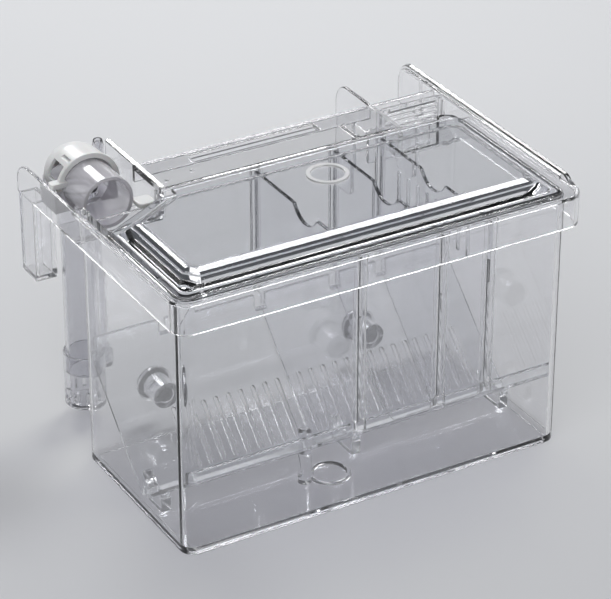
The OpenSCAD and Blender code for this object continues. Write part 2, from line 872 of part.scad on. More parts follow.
// The raised panel with its bevel; drop lowers it and draws it in, for the hollow under it
module panel_form(drop) {
    layer = 0.01;
    draw_in = drop * 0.8;
    foot = lid_flange + draw_in;
    back_foot = lid_back_flange + draw_in;
    hull() {
        translate([0, 0, lid_top - drop - layer])
            linear_extrude(layer)
                lid_outline(foot, back_foot, lid_radius - panel_foot_step, $fn = 32);
        translate([0, 0, lid_top + panel_height - drop - layer])
            linear_extrude(layer)
                lid_outline(foot + panel_bevel, back_foot + panel_bevel, lid_radius - panel_top_step, $fn = 32);
    }
}

module lid() {
    color([0.86, 0.88, 0.94, 0.35])
        from_corner() {
            difference() {
                union() {
                    translate([0, 0, tank_height])
                        linear_extrude(lid_thick)
                            difference() {
                                lid_outline(0, 0, lid_radius, $fn = 32);
                                translate([0, lid_notch_front])
                                    square([lid_notch_right, tank_depth]);
                            }
                    panel_form(0);
                }
                panel_form(lid_thick);
            }
            moulded_ring(lid_ring_x, lid_ring_y, lid_top + panel_height);
        }
}

// Fits the trap to the tank's round corners and frees it from the guides when it is lifted
module fit_trap() {
    difference() {
        intersection() {
            children();
            linear_extrude(tank_height)
                round_rect([trap_left, trap_front_y], [trap_right, trap_back_y], inner_corner - loose_gap);
        }
        for (x = divider_places) {
            block([x - guide_pair / 2 - loose_gap, trap_front_y - eps, 0],
                  [x + guide_pair / 2 + loose_gap, inner_front + guide_rib_depth + loose_gap, tank_height]);
            block([x - guide_pair / 2 - loose_gap, inner_back - guide_rib_depth - loose_gap, 0],
                  [x + guide_pair / 2 + loose_gap, trap_back_y + eps, tank_height]);
        }
        block([0, trough_front - loose_gap, 0],
              [inner_left + guide_width + gate_guide_depth + loose_gap, trap_back_y + eps, tank_height]);
        block([trough_inner_right - gate_guide_depth - loose_gap, trough_front - loose_gap, 0],
              [trough_right + loose_gap, trap_back_y + eps, tank_height]);
    }
}

module trap_front_plate() {
    color([0.86, 0.88, 0.94, 0.45])
        from_corner()
            difference() {
                fit_trap()
                    along_x(trap_left, trap_right - trap_left)
                        polygon([
                            [trap_front_y, front_z - front_upright_thick],
                            [valley_y, valley_z - front_upright_thick], [valley_y, valley_z],
                            [trap_front_y + trap_thick, front_z - front_slope * trap_thick],
                            [trap_front_y + trap_thick, front_z + trap_lip], [trap_front_y, front_z + trap_lip]
                        ]);
                translate([post_at, post_y, 0])
                    cylinder(r = post_radius + loose_gap, h = tank_height);
            }
}

module trap_back_plate() {
    color([0.86, 0.88, 0.94, 0.45])
        from_corner()
            difference() {
                fit_trap()
                    along_x(trap_left, trap_right - trap_left)
                        polygon([
                            [valley_end, valley_z - back_upright_thick], [trap_back_y, back_z - back_upright_thick],
                            [trap_back_y, back_z + trap_lip], [trap_back_y - trap_thick, back_z + trap_lip],
                            [trap_back_y - trap_thick, back_z - back_slope * trap_thick],
                            [valley_end, valley_z]
                        ]);
                for (i = [0 : slot_count - 1])
                    translate([slot_left + i * slot_pitch, valley_end, valley_z])
                        rotate([back_angle, 0, 0])
                            translate([-slot_width / 2, slot_from_gap, -2 * trap_thick])
                                cube([slot_width, slot_length, 3 * trap_thick]);
            }
}

module trap_feet() {
    low = floor_thick + seat_gap;
    color([0.84, 0.86, 0.92, 0.5])
        from_corner()
            for (x = [trap_left + foot_inset, (trap_left + trap_right) / 2 + foot_width,
                      trap_right - foot_inset - foot_width])
                along_x(x, foot_width)
                    polygon([
                        [valley_y - foot_reach, low], [valley_end + foot_reach, low],
                        [valley_end + foot_reach, valley_z + back_slope * foot_reach - back_upright_thick],
                        [valley_end, valley_z - back_upright_thick], [valley_end, valley_z - foot_bridge],
                        [valley_y, valley_z - foot_bridge], [valley_y, valley_z - front_upright_thick],
                        [valley_y - foot_reach, valley_z + front_slope * foot_reach - front_upright_thick]
                    ]);
}

module trap_post() {
    post_chamfer = 1;
    color([0.88, 0.9, 0.94, 0.6])
        from_corner()
            translate([post_at, post_y, floor_thick])
                rotate_extrude()
                    polygon([
                        [0, 0], [post_radius, 0], [post_radius, post_height - post_chamfer],
                        [post_radius - post_chamfer, post_height], [0, post_height]
                    ]);
}

// A plate that stands in the guides and follows the V of the trap, with a round bite to lift it by
module divider_plate(x) {
    low_y = inner_front + loose_gap;
    high_y = inner_back - loose_gap;
    front_step = trap_front_y + trap_thick + loose_gap;
    back_step = trap_back_y - trap_thick - loose_gap;
    front_foot = front_z + trap_lip + loose_gap;
    back_foot = back_z + trap_lip + loose_gap;
    front_rise = loose_gap / cos(front_angle);
    back_rise = loose_gap / cos(back_angle);
    difference() {
        along_x(x - divider_thick / 2, divider_thick)
            polygon([
                [low_y, divider_top], [low_y, front_foot], [front_step, front_foot],
                [front_step, front_z - front_slope * (front_step - trap_front_y) + front_rise],
                [valley_y, valley_z + front_rise], [valley_end, valley_z + back_rise],
                [back_step, back_z - back_slope * (trap_back_y - back_step) + back_rise],
                [back_step, back_foot], [high_y, back_foot], [high_y, divider_top]
            ]);
        translate([x - divider_thick, divider_middle, divider_top + bite_radius - bite_depth])
            rotate([0, 90, 0])
                cylinder(r = bite_radius, h = 2 * divider_thick);
    }
}

module left_divider() {
    color([0.84, 0.87, 0.93, 0.4])
        from_corner()
            divider_plate(left_divider_at);
}

module right_divider() {
    color([0.84, 0.87, 0.93, 0.4])
        from_corner()
            divider_plate(right_divider_at);
}

module outlet_partition() {
    slot_top = divider_top - bite_depth - partition_slot_drop;
    first = divider_middle - ((partition_slots - 1) * partition_slot_pitch + partition_slot_width) / 2;
    color([0.84, 0.87, 0.93, 0.4])
        from_corner()
            difference() {
                divider_plate(partition_at);
                for (i = [0 : partition_slots - 1])
                    block([partition_at - divider_thick, first + i * partition_slot_pitch,
                           slot_top - partition_slot_height],
                          [partition_at + divider_thick, first + i * partition_slot_pitch + partition_slot_width,
                           slot_top]);
            }
}

// A rod with a flat head that slides in its socket on the tank's back wall
module spacer(x) {
    head_front = tank_back + socket_length + seat_gap;
    lying_rod(x, spacer_height, tank_back + loose_gap, head_front + spacer_head_thick, spacer_rod_radius);
    lying_rod(x, spacer_height, head_front, head_front + spacer_head_thick, spacer_head_radius);
}

module spacer_pad(x) {
    pad_inset = 0.6;
    front = tank_back + socket_length + seat_gap + spacer_head_thick;
    lying_rod(x, spacer_height, front, front + pad_thick, spacer_head_radius - pad_inset);
}

module left_spacer() {
    color([0.86, 0.88, 0.92, 0.6])
        from_corner()
            spacer(tank_left + spacer_inset);
}

module right_spacer() {
    color([0.86, 0.88, 0.92, 0.6])
        from_corner()
            spacer(tank_right - spacer_inset);
}

module left_spacer_pad() {
    color([0.3, 0.3, 0.32])
        from_corner()
            spacer_pad(tank_left + spacer_inset);
}

module right_spacer_pad() {
    color([0.3, 0.3, 0.32])
        from_corner()
            spacer_pad(tank_right - spacer_inset);
}

tank();
front_skirt();
left_arm();
right_arm();
bridge_plate();
rear_bar();
left_leg();
outlet_cheek();
outlet_spout();
outlet_grille();
inlet_trough();
lift_bowl();
lift_duct();
lift_hood();
riser_tube();
intake_strainer();
air_pipe();
air_nozzle();
flow_gate();
gate_grip();
lid();
trap_front_plate();
trap_back_plate();
trap_feet();
trap_post();
left_divider();
right_divider();
outlet_partition();
left_spacer();
right_spacer();
left_spacer_pad();
right_spacer_pad();
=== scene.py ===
"""Looks of a clear hang-on fish breeding box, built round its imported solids.

Shapes are worked in millimetres in the part's own frame: X runs along the box, the front faces -Y, Z is up.
"""
import logging
import math
from collections.abc import Callable, Iterable, Sequence
from dataclasses import dataclass, field
from enum import Enum

import bmesh
import bpy
from mathutils import Matrix, Vector


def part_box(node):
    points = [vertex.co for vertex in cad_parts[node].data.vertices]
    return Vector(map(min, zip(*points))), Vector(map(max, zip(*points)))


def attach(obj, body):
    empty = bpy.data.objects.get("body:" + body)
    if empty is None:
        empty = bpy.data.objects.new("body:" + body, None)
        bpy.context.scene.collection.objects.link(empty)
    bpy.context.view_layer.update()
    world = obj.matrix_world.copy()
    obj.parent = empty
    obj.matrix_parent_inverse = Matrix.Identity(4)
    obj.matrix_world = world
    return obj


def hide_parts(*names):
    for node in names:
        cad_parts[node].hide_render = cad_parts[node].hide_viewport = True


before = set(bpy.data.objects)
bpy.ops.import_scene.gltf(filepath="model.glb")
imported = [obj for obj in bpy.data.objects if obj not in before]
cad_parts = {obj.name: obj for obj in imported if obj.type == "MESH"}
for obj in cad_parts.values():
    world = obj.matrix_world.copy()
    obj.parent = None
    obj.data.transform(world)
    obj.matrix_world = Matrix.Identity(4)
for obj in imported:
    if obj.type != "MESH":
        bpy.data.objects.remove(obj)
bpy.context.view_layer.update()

LOG = logging.getLogger("breeding_box")
MILLIMETRE = 0.001
# Two mouldings that touch keep this much air between them, so that no two clear faces coincide
AIR_FILM = 0.04

Outline = Sequence[tuple[float, float]]
EdgeWidth = Callable[[Vector, Vector], float]


class Axis(Enum):
    """Direction along which an outline is drawn out."""

    X = 0
    Y = 1
    Z = 2


class Rounding(Enum):
    """How an edge of a moulding is rounded, in millimetres."""

    FINE = 0.2
    CRISP = 0.35
    SOFT = 0.6
    BOLD = 1.2


def linear(colour: str) -> tuple[float, float, float, float]:
    """Turns an sRGB hex colour into linear values.

    Args:
        colour: Six hex digits after a hash.

    Returns:
        Red, green, blue and an alpha of one.
    """
    parts = [int(colour[i:i + 2], 16) / 255 for i in (1, 3, 5)]
    values = [p / 12.92 if p <= 0.04045 else ((p + 0.055) / 1.055) ** 2.4 for p in parts]
    return (values[0], values[1], values[2], 1.0)


def add_node(tree: bpy.types.NodeTree, kind: str, links: dict | None = None, **settings: object) -> bpy.types.Node:
    """Adds a node to a tree.

    Args:
        tree: The tree that gets the node.
        kind: The node's type.
        links: For each input, by name or place, the socket that feeds it or the value that it holds.
        settings: Properties of the node itself.

    Returns:
        The new node.
    """
    node = tree.nodes.new(kind)
    for key, value in settings.items():
        setattr(node, key, value)
    for key, value in (links or {}).items():
        if isinstance(value, bpy.types.NodeSocket):
            tree.links.new(value, node.inputs[key])
        else:
            node.inputs[key].default_value = value
    return node


def new_material(name: str) -> tuple[bpy.types.Material, bpy.types.NodeTree]:
    """Makes a material with an empty node tree.

    Args:
        name: The material's name.

    Returns:
        The material and its tree.
    """
    material = bpy.data.materials.new(name)
    material.use_nodes = True
    material.node_tree.nodes.clear()
    return material, material.node_tree


@dataclass(frozen=True)
class CrystalPolystyrene:
    """Clear polystyrene from a polished mould: glassy, with bright edges and a faint flow ripple.

    The eye sees sharp reflections, slightly grey walls and edges that gather light.
    """

    name: str
    tint: str = "#FBFBFC"
    shadow: str = "#FBFBFC"
    ior: float = 1.59
    roughness: float = 0.012
    haze: float = 0.03
    ripple_spacing: float = 16.0
    ripple_height: float = 0.02
    # Specks in the polish are near 0.05 mm; they are drawn at 0.9 mm so that they show
    speck_spacing: float = 0.9
    speck_height: float = 0.0006

    def build(self) -> bpy.types.Material:
        """Builds the material.

        Returns:
            A clear material that lets the lamps' light through.
        """
        material, tree = new_material(self.name)
        place = add_node(tree, "ShaderNodeTexCoord").outputs["Object"]
        ripple = add_node(tree, "ShaderNodeTexNoise", {
            "Vector": place, "Scale": 1 / (self.ripple_spacing * MILLIMETRE), "Detail": 1.5, "Roughness": 0.4})
        speck = add_node(tree, "ShaderNodeTexNoise", {
            "Vector": place, "Scale": 1 / (self.speck_spacing * MILLIMETRE), "Detail": 2.0})
        polish = add_node(tree, "ShaderNodeMapRange", {
            "Value": ripple.outputs["Fac"], "From Min": 0.35, "From Max": 0.75,
            "To Min": self.roughness, "To Max": self.haze})
        waves = add_node(tree, "ShaderNodeBump", {
            "Height": ripple.outputs["Fac"], "Strength": 1.0, "Distance": self.ripple_height * MILLIMETRE})
        grain = add_node(tree, "ShaderNodeBump", {
            "Height": speck.outputs["Fac"], "Strength": 1.0, "Distance": self.speck_height * MILLIMETRE,
            "Normal": waves.outputs["Normal"]})
        clear = add_node(tree, "ShaderNodeBsdfPrincipled", {
            "Base Color": linear(self.tint), "Transmission Weight": 1.0, "IOR": self.ior,
            "Roughness": polish.outputs["Result"], "Normal": grain.outputs["Normal"]})
        through = add_node(tree, "ShaderNodeBsdfTransparent", {"Color": linear(self.shadow)})
        shadow_ray = add_node(tree, "ShaderNodeLightPath").outputs["Is Shadow Ray"]
        mixed = add_node(tree, "ShaderNodeMixShader", {
            0: shadow_ray, 1: clear.outputs["BSDF"], 2: through.outputs["BSDF"]})
        add_node(tree, "ShaderNodeOutputMaterial", {"Surface": mixed.outputs["Shader"]})
        return material


@dataclass(frozen=True)
class FrostedPolystyrene:
    """Milky polystyrene: it passes most of the light and shows what lies behind through a pale veil."""

    name: str
    colour: str = "#F8F7FA"
    cloud: str = "#EEEDF1"
    shadow: str = "#E4E3E7"
    ior: float = 1.59
    transmission: float = 0.66
    roughness: float = 0.06
    cloud_spacing: float = 7.0
    # A blasted mould leaves pits near 0.05 mm; they are drawn at 0.4 mm so that they show
    pit_spacing: float = 0.4
    pit_depth: float = 0.004

    def build(self) -> bpy.types.Material:
        """Builds the material.

        Returns:
            A milky material.
        """
        material, tree = new_material(self.name)
        place = add_node(tree, "ShaderNodeTexCoord").outputs["Object"]
        cloud = add_node(tree, "ShaderNodeTexNoise", {
            "Vector": place, "Scale": 1 / (self.cloud_spacing * MILLIMETRE), "Detail": 3.0})
        colour = add_node(tree, "ShaderNodeMix", {
            "Factor": cloud.outputs["Fac"], "A": linear(self.colour), "B": linear(self.cloud)}, data_type="RGBA")
        pits = add_node(tree, "ShaderNodeTexNoise", {
            "Vector": place, "Scale": 1 / (self.pit_spacing * MILLIMETRE), "Detail": 2.0})
        bump = add_node(tree, "ShaderNodeBump", {
            "Height": pits.outputs["Fac"], "Strength": 1.0, "Distance": self.pit_depth * MILLIMETRE})
        surface = add_node(tree, "ShaderNodeBsdfPrincipled", {
            "Base Color": colour.outputs["Result"], "Transmission Weight": self.transmission, "IOR": self.ior,
            "Roughness": self.roughness, "Normal": bump.outputs["Normal"]})
        through = add_node(tree, "ShaderNodeBsdfTransparent", {"Color": linear(self.shadow)})
        shadow_ray = add_node(tree, "ShaderNodeLightPath").outputs["Is Shadow Ray"]
        mixed = add_node(tree, "ShaderNodeMixShader", {
            0: shadow_ray, 1: surface.outputs["BSDF"], 2: through.outputs["BSDF"]})
        add_node(tree, "ShaderNodeOutputMaterial", {"Surface": mixed.outputs["Shader"]})
        return material


@dataclass(frozen=True)
class WhiteAbs:
    """White ABS from a satin mould: soft broad highlights over a very fine grain."""

    name: str
    colour: str = "#F4F4F2"
    shade: str = "#EAEBEC"
    ior: float = 1.54
    roughness: float = 0.3
    cloud_spacing: float = 9.0
    # A satin mould's grain is near 0.1 mm; it is drawn at 0.35 mm so that it shows
    grain_spacing: float = 0.35
    grain_height: float = 0.004

    def build(self) -> bpy.types.Material:
        """Builds the material.

        Returns:
            An opaque white material.
        """
        material, tree = new_material(self.name)
        place = add_node(tree, "ShaderNodeTexCoord").outputs["Object"]
        cloud = add_node(tree, "ShaderNodeTexNoise", {
            "Vector": place, "Scale": 1 / (self.cloud_spacing * MILLIMETRE), "Detail": 3.0})
        colour = add_node(tree, "ShaderNodeMix", {
            "Factor": cloud.outputs["Fac"], "A": linear(self.colour), "B": linear(self.shade)}, data_type="RGBA")
        grain = add_node(tree, "ShaderNodeTexNoise", {
            "Vector": place, "Scale": 1 / (self.grain_spacing * MILLIMETRE), "Detail": 2.0})
        bump = add_node(tree, "ShaderNodeBump", {
            "Height": grain.outputs["Fac"], "Strength": 1.0, "Distance": self.grain_height * MILLIMETRE})
        sheen = add_node(tree, "ShaderNodeMapRange", {
            "Value": cloud.outputs["Fac"], "To Min": self.roughness - 0.05, "To Max": self.roughness + 0.08})
        surface = add_node(tree, "ShaderNodeBsdfPrincipled", {
            "Base Color": colour.outputs["Result"], "IOR": self.ior, "Roughness": sheen.outputs["Result"],
            "Subsurface Weight": 0.06, "Subsurface Scale": 0.002, "Normal": bump.outputs["Normal"]})
        add_node(tree, "ShaderNodeOutputMaterial", {"Surface": surface.outputs["BSDF"]})
        return material


@dataclass(frozen=True)
class NitrileRubber:
    """Black nitrile rubber from a dull mould: matt, with a coarse skin and a dusty bloom."""

    name: str
    colour: str = "#2B2B2D"
    bloom: str = "#4A4A4C"
    ior: float = 1.52
    roughness: float = 0.72
    bloom_spacing: float = 3.0
    grain_spacing: float = 0.5
    grain_height: float = 0.03

    def build(self) -> bpy.types.Material:
        """Builds the material.

        Returns:
            A dark matt material.
        """
        material, tree = new_material(self.name)
        place = add_node(tree, "ShaderNodeTexCoord").outputs["Object"]
        bloom = add_node(tree, "ShaderNodeTexNoise", {
            "Vector": place, "Scale": 1 / (self.bloom_spacing * MILLIMETRE), "Detail": 4.0})
        colour = add_node(tree, "ShaderNodeMix", {
            "Factor": bloom.outputs["Fac"], "A": linear(self.colour), "B": linear(self.bloom)}, data_type="RGBA")
        grain = add_node(tree, "ShaderNodeTexNoise", {
            "Vector": place, "Scale": 1 / (self.grain_spacing * MILLIMETRE), "Detail": 3.0})
        bump = add_node(tree, "ShaderNodeBump", {
            "Height": grain.outputs["Fac"], "Strength": 1.0, "Distance": self.grain_height * MILLIMETRE})
        surface = add_node(tree, "ShaderNodeBsdfPrincipled", {
            "Base Color": colour.outputs["Result"], "IOR": self.ior, "Roughness": self.roughness,
            "Normal": bump.outputs["Normal"]})
        add_node(tree, "ShaderNodeOutputMaterial", {"Surface": surface.outputs["BSDF"]})
        return material


@dataclass(frozen=True)
class StudioPaper:
    """Pale background paper: matt and even, with the faint fibre of heavy paper."""

    name: str
    colour: str = "#D9DADC"
    roughness: float = 0.95
    fibre_spacing: float = 1.5
    fibre_height: float = 0.01

    def build(self) -> bpy.types.Material:
        """Builds the material.

        Returns:
            The floor's material.
        """
        material, tree = new_material(self.name)
        place = add_node(tree, "ShaderNodeTexCoord").outputs["Object"]
        fibre = add_node(tree, "ShaderNodeTexNoise", {
            "Vector": place, "Scale": 1 / (self.fibre_spacing * MILLIMETRE), "Detail": 3.0})
        bump = add_node(tree, "ShaderNodeBump", {
            "Height": fibre.outputs["Fac"], "Strength": 0.3, "Distance": self.fibre_height * MILLIMETRE})
        surface = add_node(tree, "ShaderNodeBsdfPrincipled", {
            "Base Color": linear(self.colour), "Roughness": self.roughness, "Specular IOR Level": 0.1,
            "Normal": bump.outputs["Normal"]})
        add_node(tree, "ShaderNodeOutputMaterial", {"Surface": surface.outputs["BSDF"]})
        return material


def rectangle(low: Sequence[float], high: Sequence[float]) -> Outline:
    """Returns the four corners of a rectangle, from the lowest one onwards."""
    return [(low[0], low[1]), (high[0], low[1]), (high[0], high[1]), (low[0], high[1])]


def filleted(points: Outline, radii: Sequence[float], inset: float = 0.0, steps: int = 10) -> Outline:
    """Draws a closed outline in and rounds its corners.

    Args:
        points: Corners, with the inside on the left of the way round.
        radii: The radius at each corner, before the outline is drawn in; zero leaves a corner sharp.
        inset: How far every side moves inwards.
        steps: Segments of each rounded corner.

    Returns:
        The new outline, with as many points for every inset.
    """
    corners_in = [Vector(p) for p in points]
    count = len(corners_in)
    ways = [(corners_in[(i + 1) % count] - corners_in[i]).normalized() for i in range(count)]
    result: list[tuple[float, float]] = []
    moved = []
    for i in range(count):
        before, after = ways[i - 1], ways[i]
        normal = Vector((-before.y, before.x)) + Vector((-after.y, after.x))
        share = normal.normalized()
        moved.append(corners_in[i] + share * inset / max(share.dot(Vector((-after.y, after.x))), 0.1))
    for i in range(count):
        here, before, after = moved[i], -ways[i - 1], ways[i]
        opening = before.angle(after)
        turns_left = ways[i - 1].cross(ways[i]) > 0
        radius = radii[i] - inset if turns_left else radii[i] + inset
        if radii[i] <= 0 or radius <= 0.02:
            repeat = steps + 1 if radii[i] > 0 else 1
            spread = 0.01
            for k in range(repeat):
                along = (k / max(repeat - 1, 1) - 0.5) * spread if repeat > 1 else 0
                result.append(tuple(here + (after if along > 0 else before) * abs(along)))
            continue
        reach = radius / math.tan(opening / 2)
        centre = here + (before + after).normalized() * radius / math.sin(opening / 2)
        start, end = here + before * reach - centre, here + after * reach - centre
        turn = math.atan2(start.cross(end), start.dot(end))
        for k in range(steps + 1):
            angle = turn * k / steps
            arm = Vector((start.x * math.cos(angle) - start.y * math.sin(angle),
                          start.x * math.sin(angle) + start.y * math.cos(angle)))
            result.append(tuple(centre + arm))
    return result


class Shape:
    """A closed mesh in millimetres that is joined, cut and rounded before it becomes a piece."""

    merge_distance = 0.012
    flat_angle = math.radians(0.6)
    edge_angle = math.radians(27)
    smooth_limit = math.cos(math.radians(34))
    rounding_share = 1e-6
    slant_limit = 0.35
    room_share = 0.45
    rounding_tries = (1.0, 0.8, 0.6, 0.4, 0.2, 0.05)
    fold_limit = 1.5
    gap_weld = 0.11

    def __init__(self, mesh: bpy.types.Mesh) -> None:
        """Keeps the mesh."""
        self.mesh = mesh

    @classmethod
    def of_bmesh(cls, bm: bmesh.types.BMesh) -> "Shape":
        """Makes a shape from a bmesh and frees it.

        Args:
            bm: The faces, in millimetres.

        Returns:
            The shape, with its faces turned outwards.
        """
        bmesh.ops.recalc_face_normals(bm, faces=bm.faces)
        mesh = bpy.data.meshes.new("shape")
        bm.to_mesh(mesh)
        bm.free()
        return cls(mesh)

    @classmethod
    def of_node(cls, node: str) -> "Shape":
        """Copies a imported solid.

        Args:
            node: The solid's name.

        Returns:
            The same form, with its flat faces made whole again.
        """
        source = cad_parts[node].data
        bm = bmesh.new()
        points = [bm.verts.new([round(c / MILLIMETRE, 4) for c in v.co]) for v in source.vertices]
        for polygon in source.polygons:
            bm.faces.new([points[i] for i in polygon.vertices])
        bmesh.ops.remove_doubles(bm, verts=bm.verts, dist=cls.merge_distance)
        return cls.of_bmesh(bm).tidied()

    @classmethod
    def prism(cls, outline: Outline, axis: Axis, start: float, end: float) -> "Shape":
        """Draws a closed outline out along an axis.

        Args:
            outline: Points in the two other axes, in their order X, Y, Z.
            axis: The direction.
            start: Where the prism begins.
            end: Where it ends.

        Returns:
            The prism.
        """
        bm = bmesh.new()
        rings = []
        for level in (start, end):
            ring = []
            for point in outline:
                place = list(point)
                place.insert(axis.value, level)
                ring.append(bm.verts.new(place))
            rings.append(ring)
        low, high = rings
        bm.faces.new(low[::-1])
        bm.faces.new(high)
        for i in range(len(low)):
            j = (i + 1) % len(low)
            bm.faces.new((low[i], low[j], high[j], high[i]))
        return cls.of_bmesh(bm)

    @classmethod
    def block(cls, low: Sequence[float], high: Sequence[float]) -> "Shape":
        """Returns a box between two corners, for joining and cutting."""
        return cls.prism(rectangle(low[:2], high[:2]), Axis.Z, low[2], high[2])

    @classmethod
    def lofted(cls, rings: Sequence[tuple[Outline, float]]) -> "Shape":
        """Skins outlines that lie above each other.

        Args:
            rings: Each outline with its height; all have as many points.

        Returns:
            The closed form.
        """
        bm = bmesh.new()
        loops = [[bm.verts.new((x, y, z)) for x, y in outline] for outline, z in rings]
        bm.faces.new(loops[0][::-1])
        bm.faces.new(loops[-1])
        for low, high in zip(loops, loops[1:]):
            for i in range(len(low)):
                j = (i + 1) % len(low)
                bm.faces.new((low[i], low[j], high[j], high[i]))
        return cls.of_bmesh(bm)

    @classmethod
    def turned(cls, profile: Outline, centre: Sequence[float], axis: Axis = Axis.Z, steps: int = 48) -> "Shape":
        """Turns a profile about an axis.

        Args:
            profile: Radius and distance along the axis; a radius of zero closes an end.
            centre: The origin of the profile.
            axis: The axis of the lathe.
            steps: Facets round the piece.

        Returns:
            The turned form.
        """
        bm = bmesh.new()
        rings = []
        for radius, along in profile:
            ring = []
            for i in range(steps if radius > 0 else 1):
                angle = 2 * math.pi * i / steps
                place = [radius * math.cos(angle), radius * math.sin(angle)]
                place.insert(axis.value, along)
                ring.append(bm.verts.new(Vector(place) + Vector(centre)))
            rings.append(ring)
        closed = profile[0][0] > 0
        pairs = list(zip(rings, rings[1:] + rings[:1])) if closed else list(zip(rings, rings[1:]))
        for first, second in pairs:
            for i in range(steps):
                j = (i + 1) % steps
                loop = [first[i % len(first)], first[j % len(first)], second[j % len(second)], second[i % len(second)]]
                loop = list(dict.fromkeys(loop))
                if len(loop) > 2:
                    bm.faces.new(loop)
        return cls.of_bmesh(bm)

    def as_object(self) -> bpy.types.Object:
        """Puts the mesh in the scene for a moment, so that modifiers can work on it."""
        holder = bpy.data.objects.new("shape", self.mesh)
        bpy.context.scene.collection.objects.link(holder)
        return holder

    @staticmethod
    def evaluated(holder: bpy.types.Object) -> bpy.types.Mesh:
        """Returns the holder's mesh with its modifiers applied."""
        bpy.context.view_layer.update()
        return bpy.data.meshes.new_from_object(holder.evaluated_get(bpy.context.evaluated_depsgraph_get()))

    def combined(self, others: Iterable["Shape"], operation: str) -> bpy.types.Mesh:
        """Joins other shapes to this one, or cuts them out of it.

        Args:
            others: The other shapes.
            operation: UNION, DIFFERENCE or INTERSECT.

        Returns:
            The new mesh.
        """
        holder = self.as_object()
        tools = [other.as_object() for other in others]
        for tool in tools:
            boolean = holder.modifiers.new("boolean", "BOOLEAN")
            boolean.operation = operation
            boolean.solver = "EXACT"
            boolean.object = tool
        mesh = self.evaluated(holder)
        for used in [holder, *tools]:
            bpy.data.objects.remove(used)
        return mesh

    def joined(self, *others: "Shape") -> "Shape":
        """Returns this shape grown by the others."""
        return Shape(self.combined(others, "UNION")).tidied()

    def fused(self, *others: "Shape") -> "Shape":
        """Returns this rounded shape grown by other rounded shapes."""
        return Shape(self.combined(others, "UNION")).closed()

    def pierced(self, *others: "Shape") -> "Shape":
        """Returns this rounded shape with the others cut out of it."""
        return Shape(self.combined(others, "DIFFERENCE")).closed()

    def closed(self) -> "Shape":
        """Takes out stray slivers, fills the narrow gaps that joining rounded shapes can leave, and returns the shape."""
        bm = bmesh.new()
        bm.from_mesh(self.mesh)
        stray = [face for face in bm.faces if all(edge.is_boundary for edge in face.edges)]
        bmesh.ops.delete(bm, geom=stray, context="FACES")
        bmesh.ops.holes_fill(bm, edges=[edge for edge in bm.edges if edge.is_boundary], sides=4)
        bmesh.ops.remove_doubles(bm, verts=[corner for corner in bm.verts if corner.is_boundary], dist=self.gap_weld)
        bmesh.ops.recalc_face_normals(bm, faces=bm.faces)
        bm.to_mesh(self.mesh)
        bm.free()
        return self

    def cut(self, *others: "Shape") -> "Shape":
        """Returns this shape with the others cut out of it."""
        return Shape(self.combined(others, "DIFFERENCE")).tidied()

    def within(self, other: "Shape") -> "Shape":
        """Returns the part of this shape that lies inside the other."""
        return Shape(self.combined([other], "INTERSECT")).tidied()

    def placed(self, matrix: Matrix) -> "Shape":
        """Moves or turns the shape and returns it."""
        self.mesh.transform(matrix)
        return self

    def tidied(self) -> "Shape":
        """Merges close corners and dissolves the edges that cross flat faces.

        Returns:
            The cleaned shape.
        """
        bm = bmesh.new()
        bm.from_mesh(self.mesh)
        bmesh.ops.remove_doubles(bm, verts=bm.verts, dist=self.merge_distance)
        bmesh.ops.dissolve_degenerate(bm, edges=bm.edges, dist=self.merge_distance)
        bmesh.ops.dissolve_limit(bm, angle_limit=self.flat_angle, verts=bm.verts, edges=bm.edges)
        return Shape.of_bmesh(bm)

    def moved(self, change: Callable[[Vector], Vector]) -> "Shape":
        """Moves each corner.

        Args:
            change: Gives a corner's new place.

        Returns:
            This shape.
        """
        for vertex in self.mesh.vertices:
            vertex.co = change(vertex.co.copy())
        return self

    def room_beside(self, edge: bmesh.types.BMEdge) -> float:
        """Measures how wide an edge's rounding may be before it meets the next one.

        Args:
            edge: The edge.

        Returns:
            The widest rounding that the edges at both of its ends leave room for.
        """
        along = (edge.verts[1].co - edge.verts[0].co).normalized()
        room = 100.0
        for corner in edge.verts:
            for other in corner.link_edges:
                if other is not edge:
                    side = (other.other_vert(corner).co - corner.co).cross(along).length
                    if side > self.slant_limit * other.calc_length():
                        room = min(room, side * self.room_share)
        return room

    def chains(self, edges: Sequence[bmesh.types.BMEdge]) -> list[list[bmesh.types.BMEdge]]:
        """Groups edges that run on from each other, which have to be rounded alike.

        Args:
            edges: The edges to round.

        Returns:
            The groups.
        """
        left = {edge: True for edge in edges}
        groups = []
        while left:
            group = [left.popitem()[0]]
            for edge in group:
                for corner in edge.verts:
                    way = (corner.co - edge.other_vert(corner).co).normalized()
                    for other in corner.link_edges:
                        onwards = (other.other_vert(corner).co - corner.co).normalized()
                        if other in left and way.dot(onwards) > self.smooth_limit:
                            del left[other]
                            group.append(other)
            groups.append(group)
        return groups

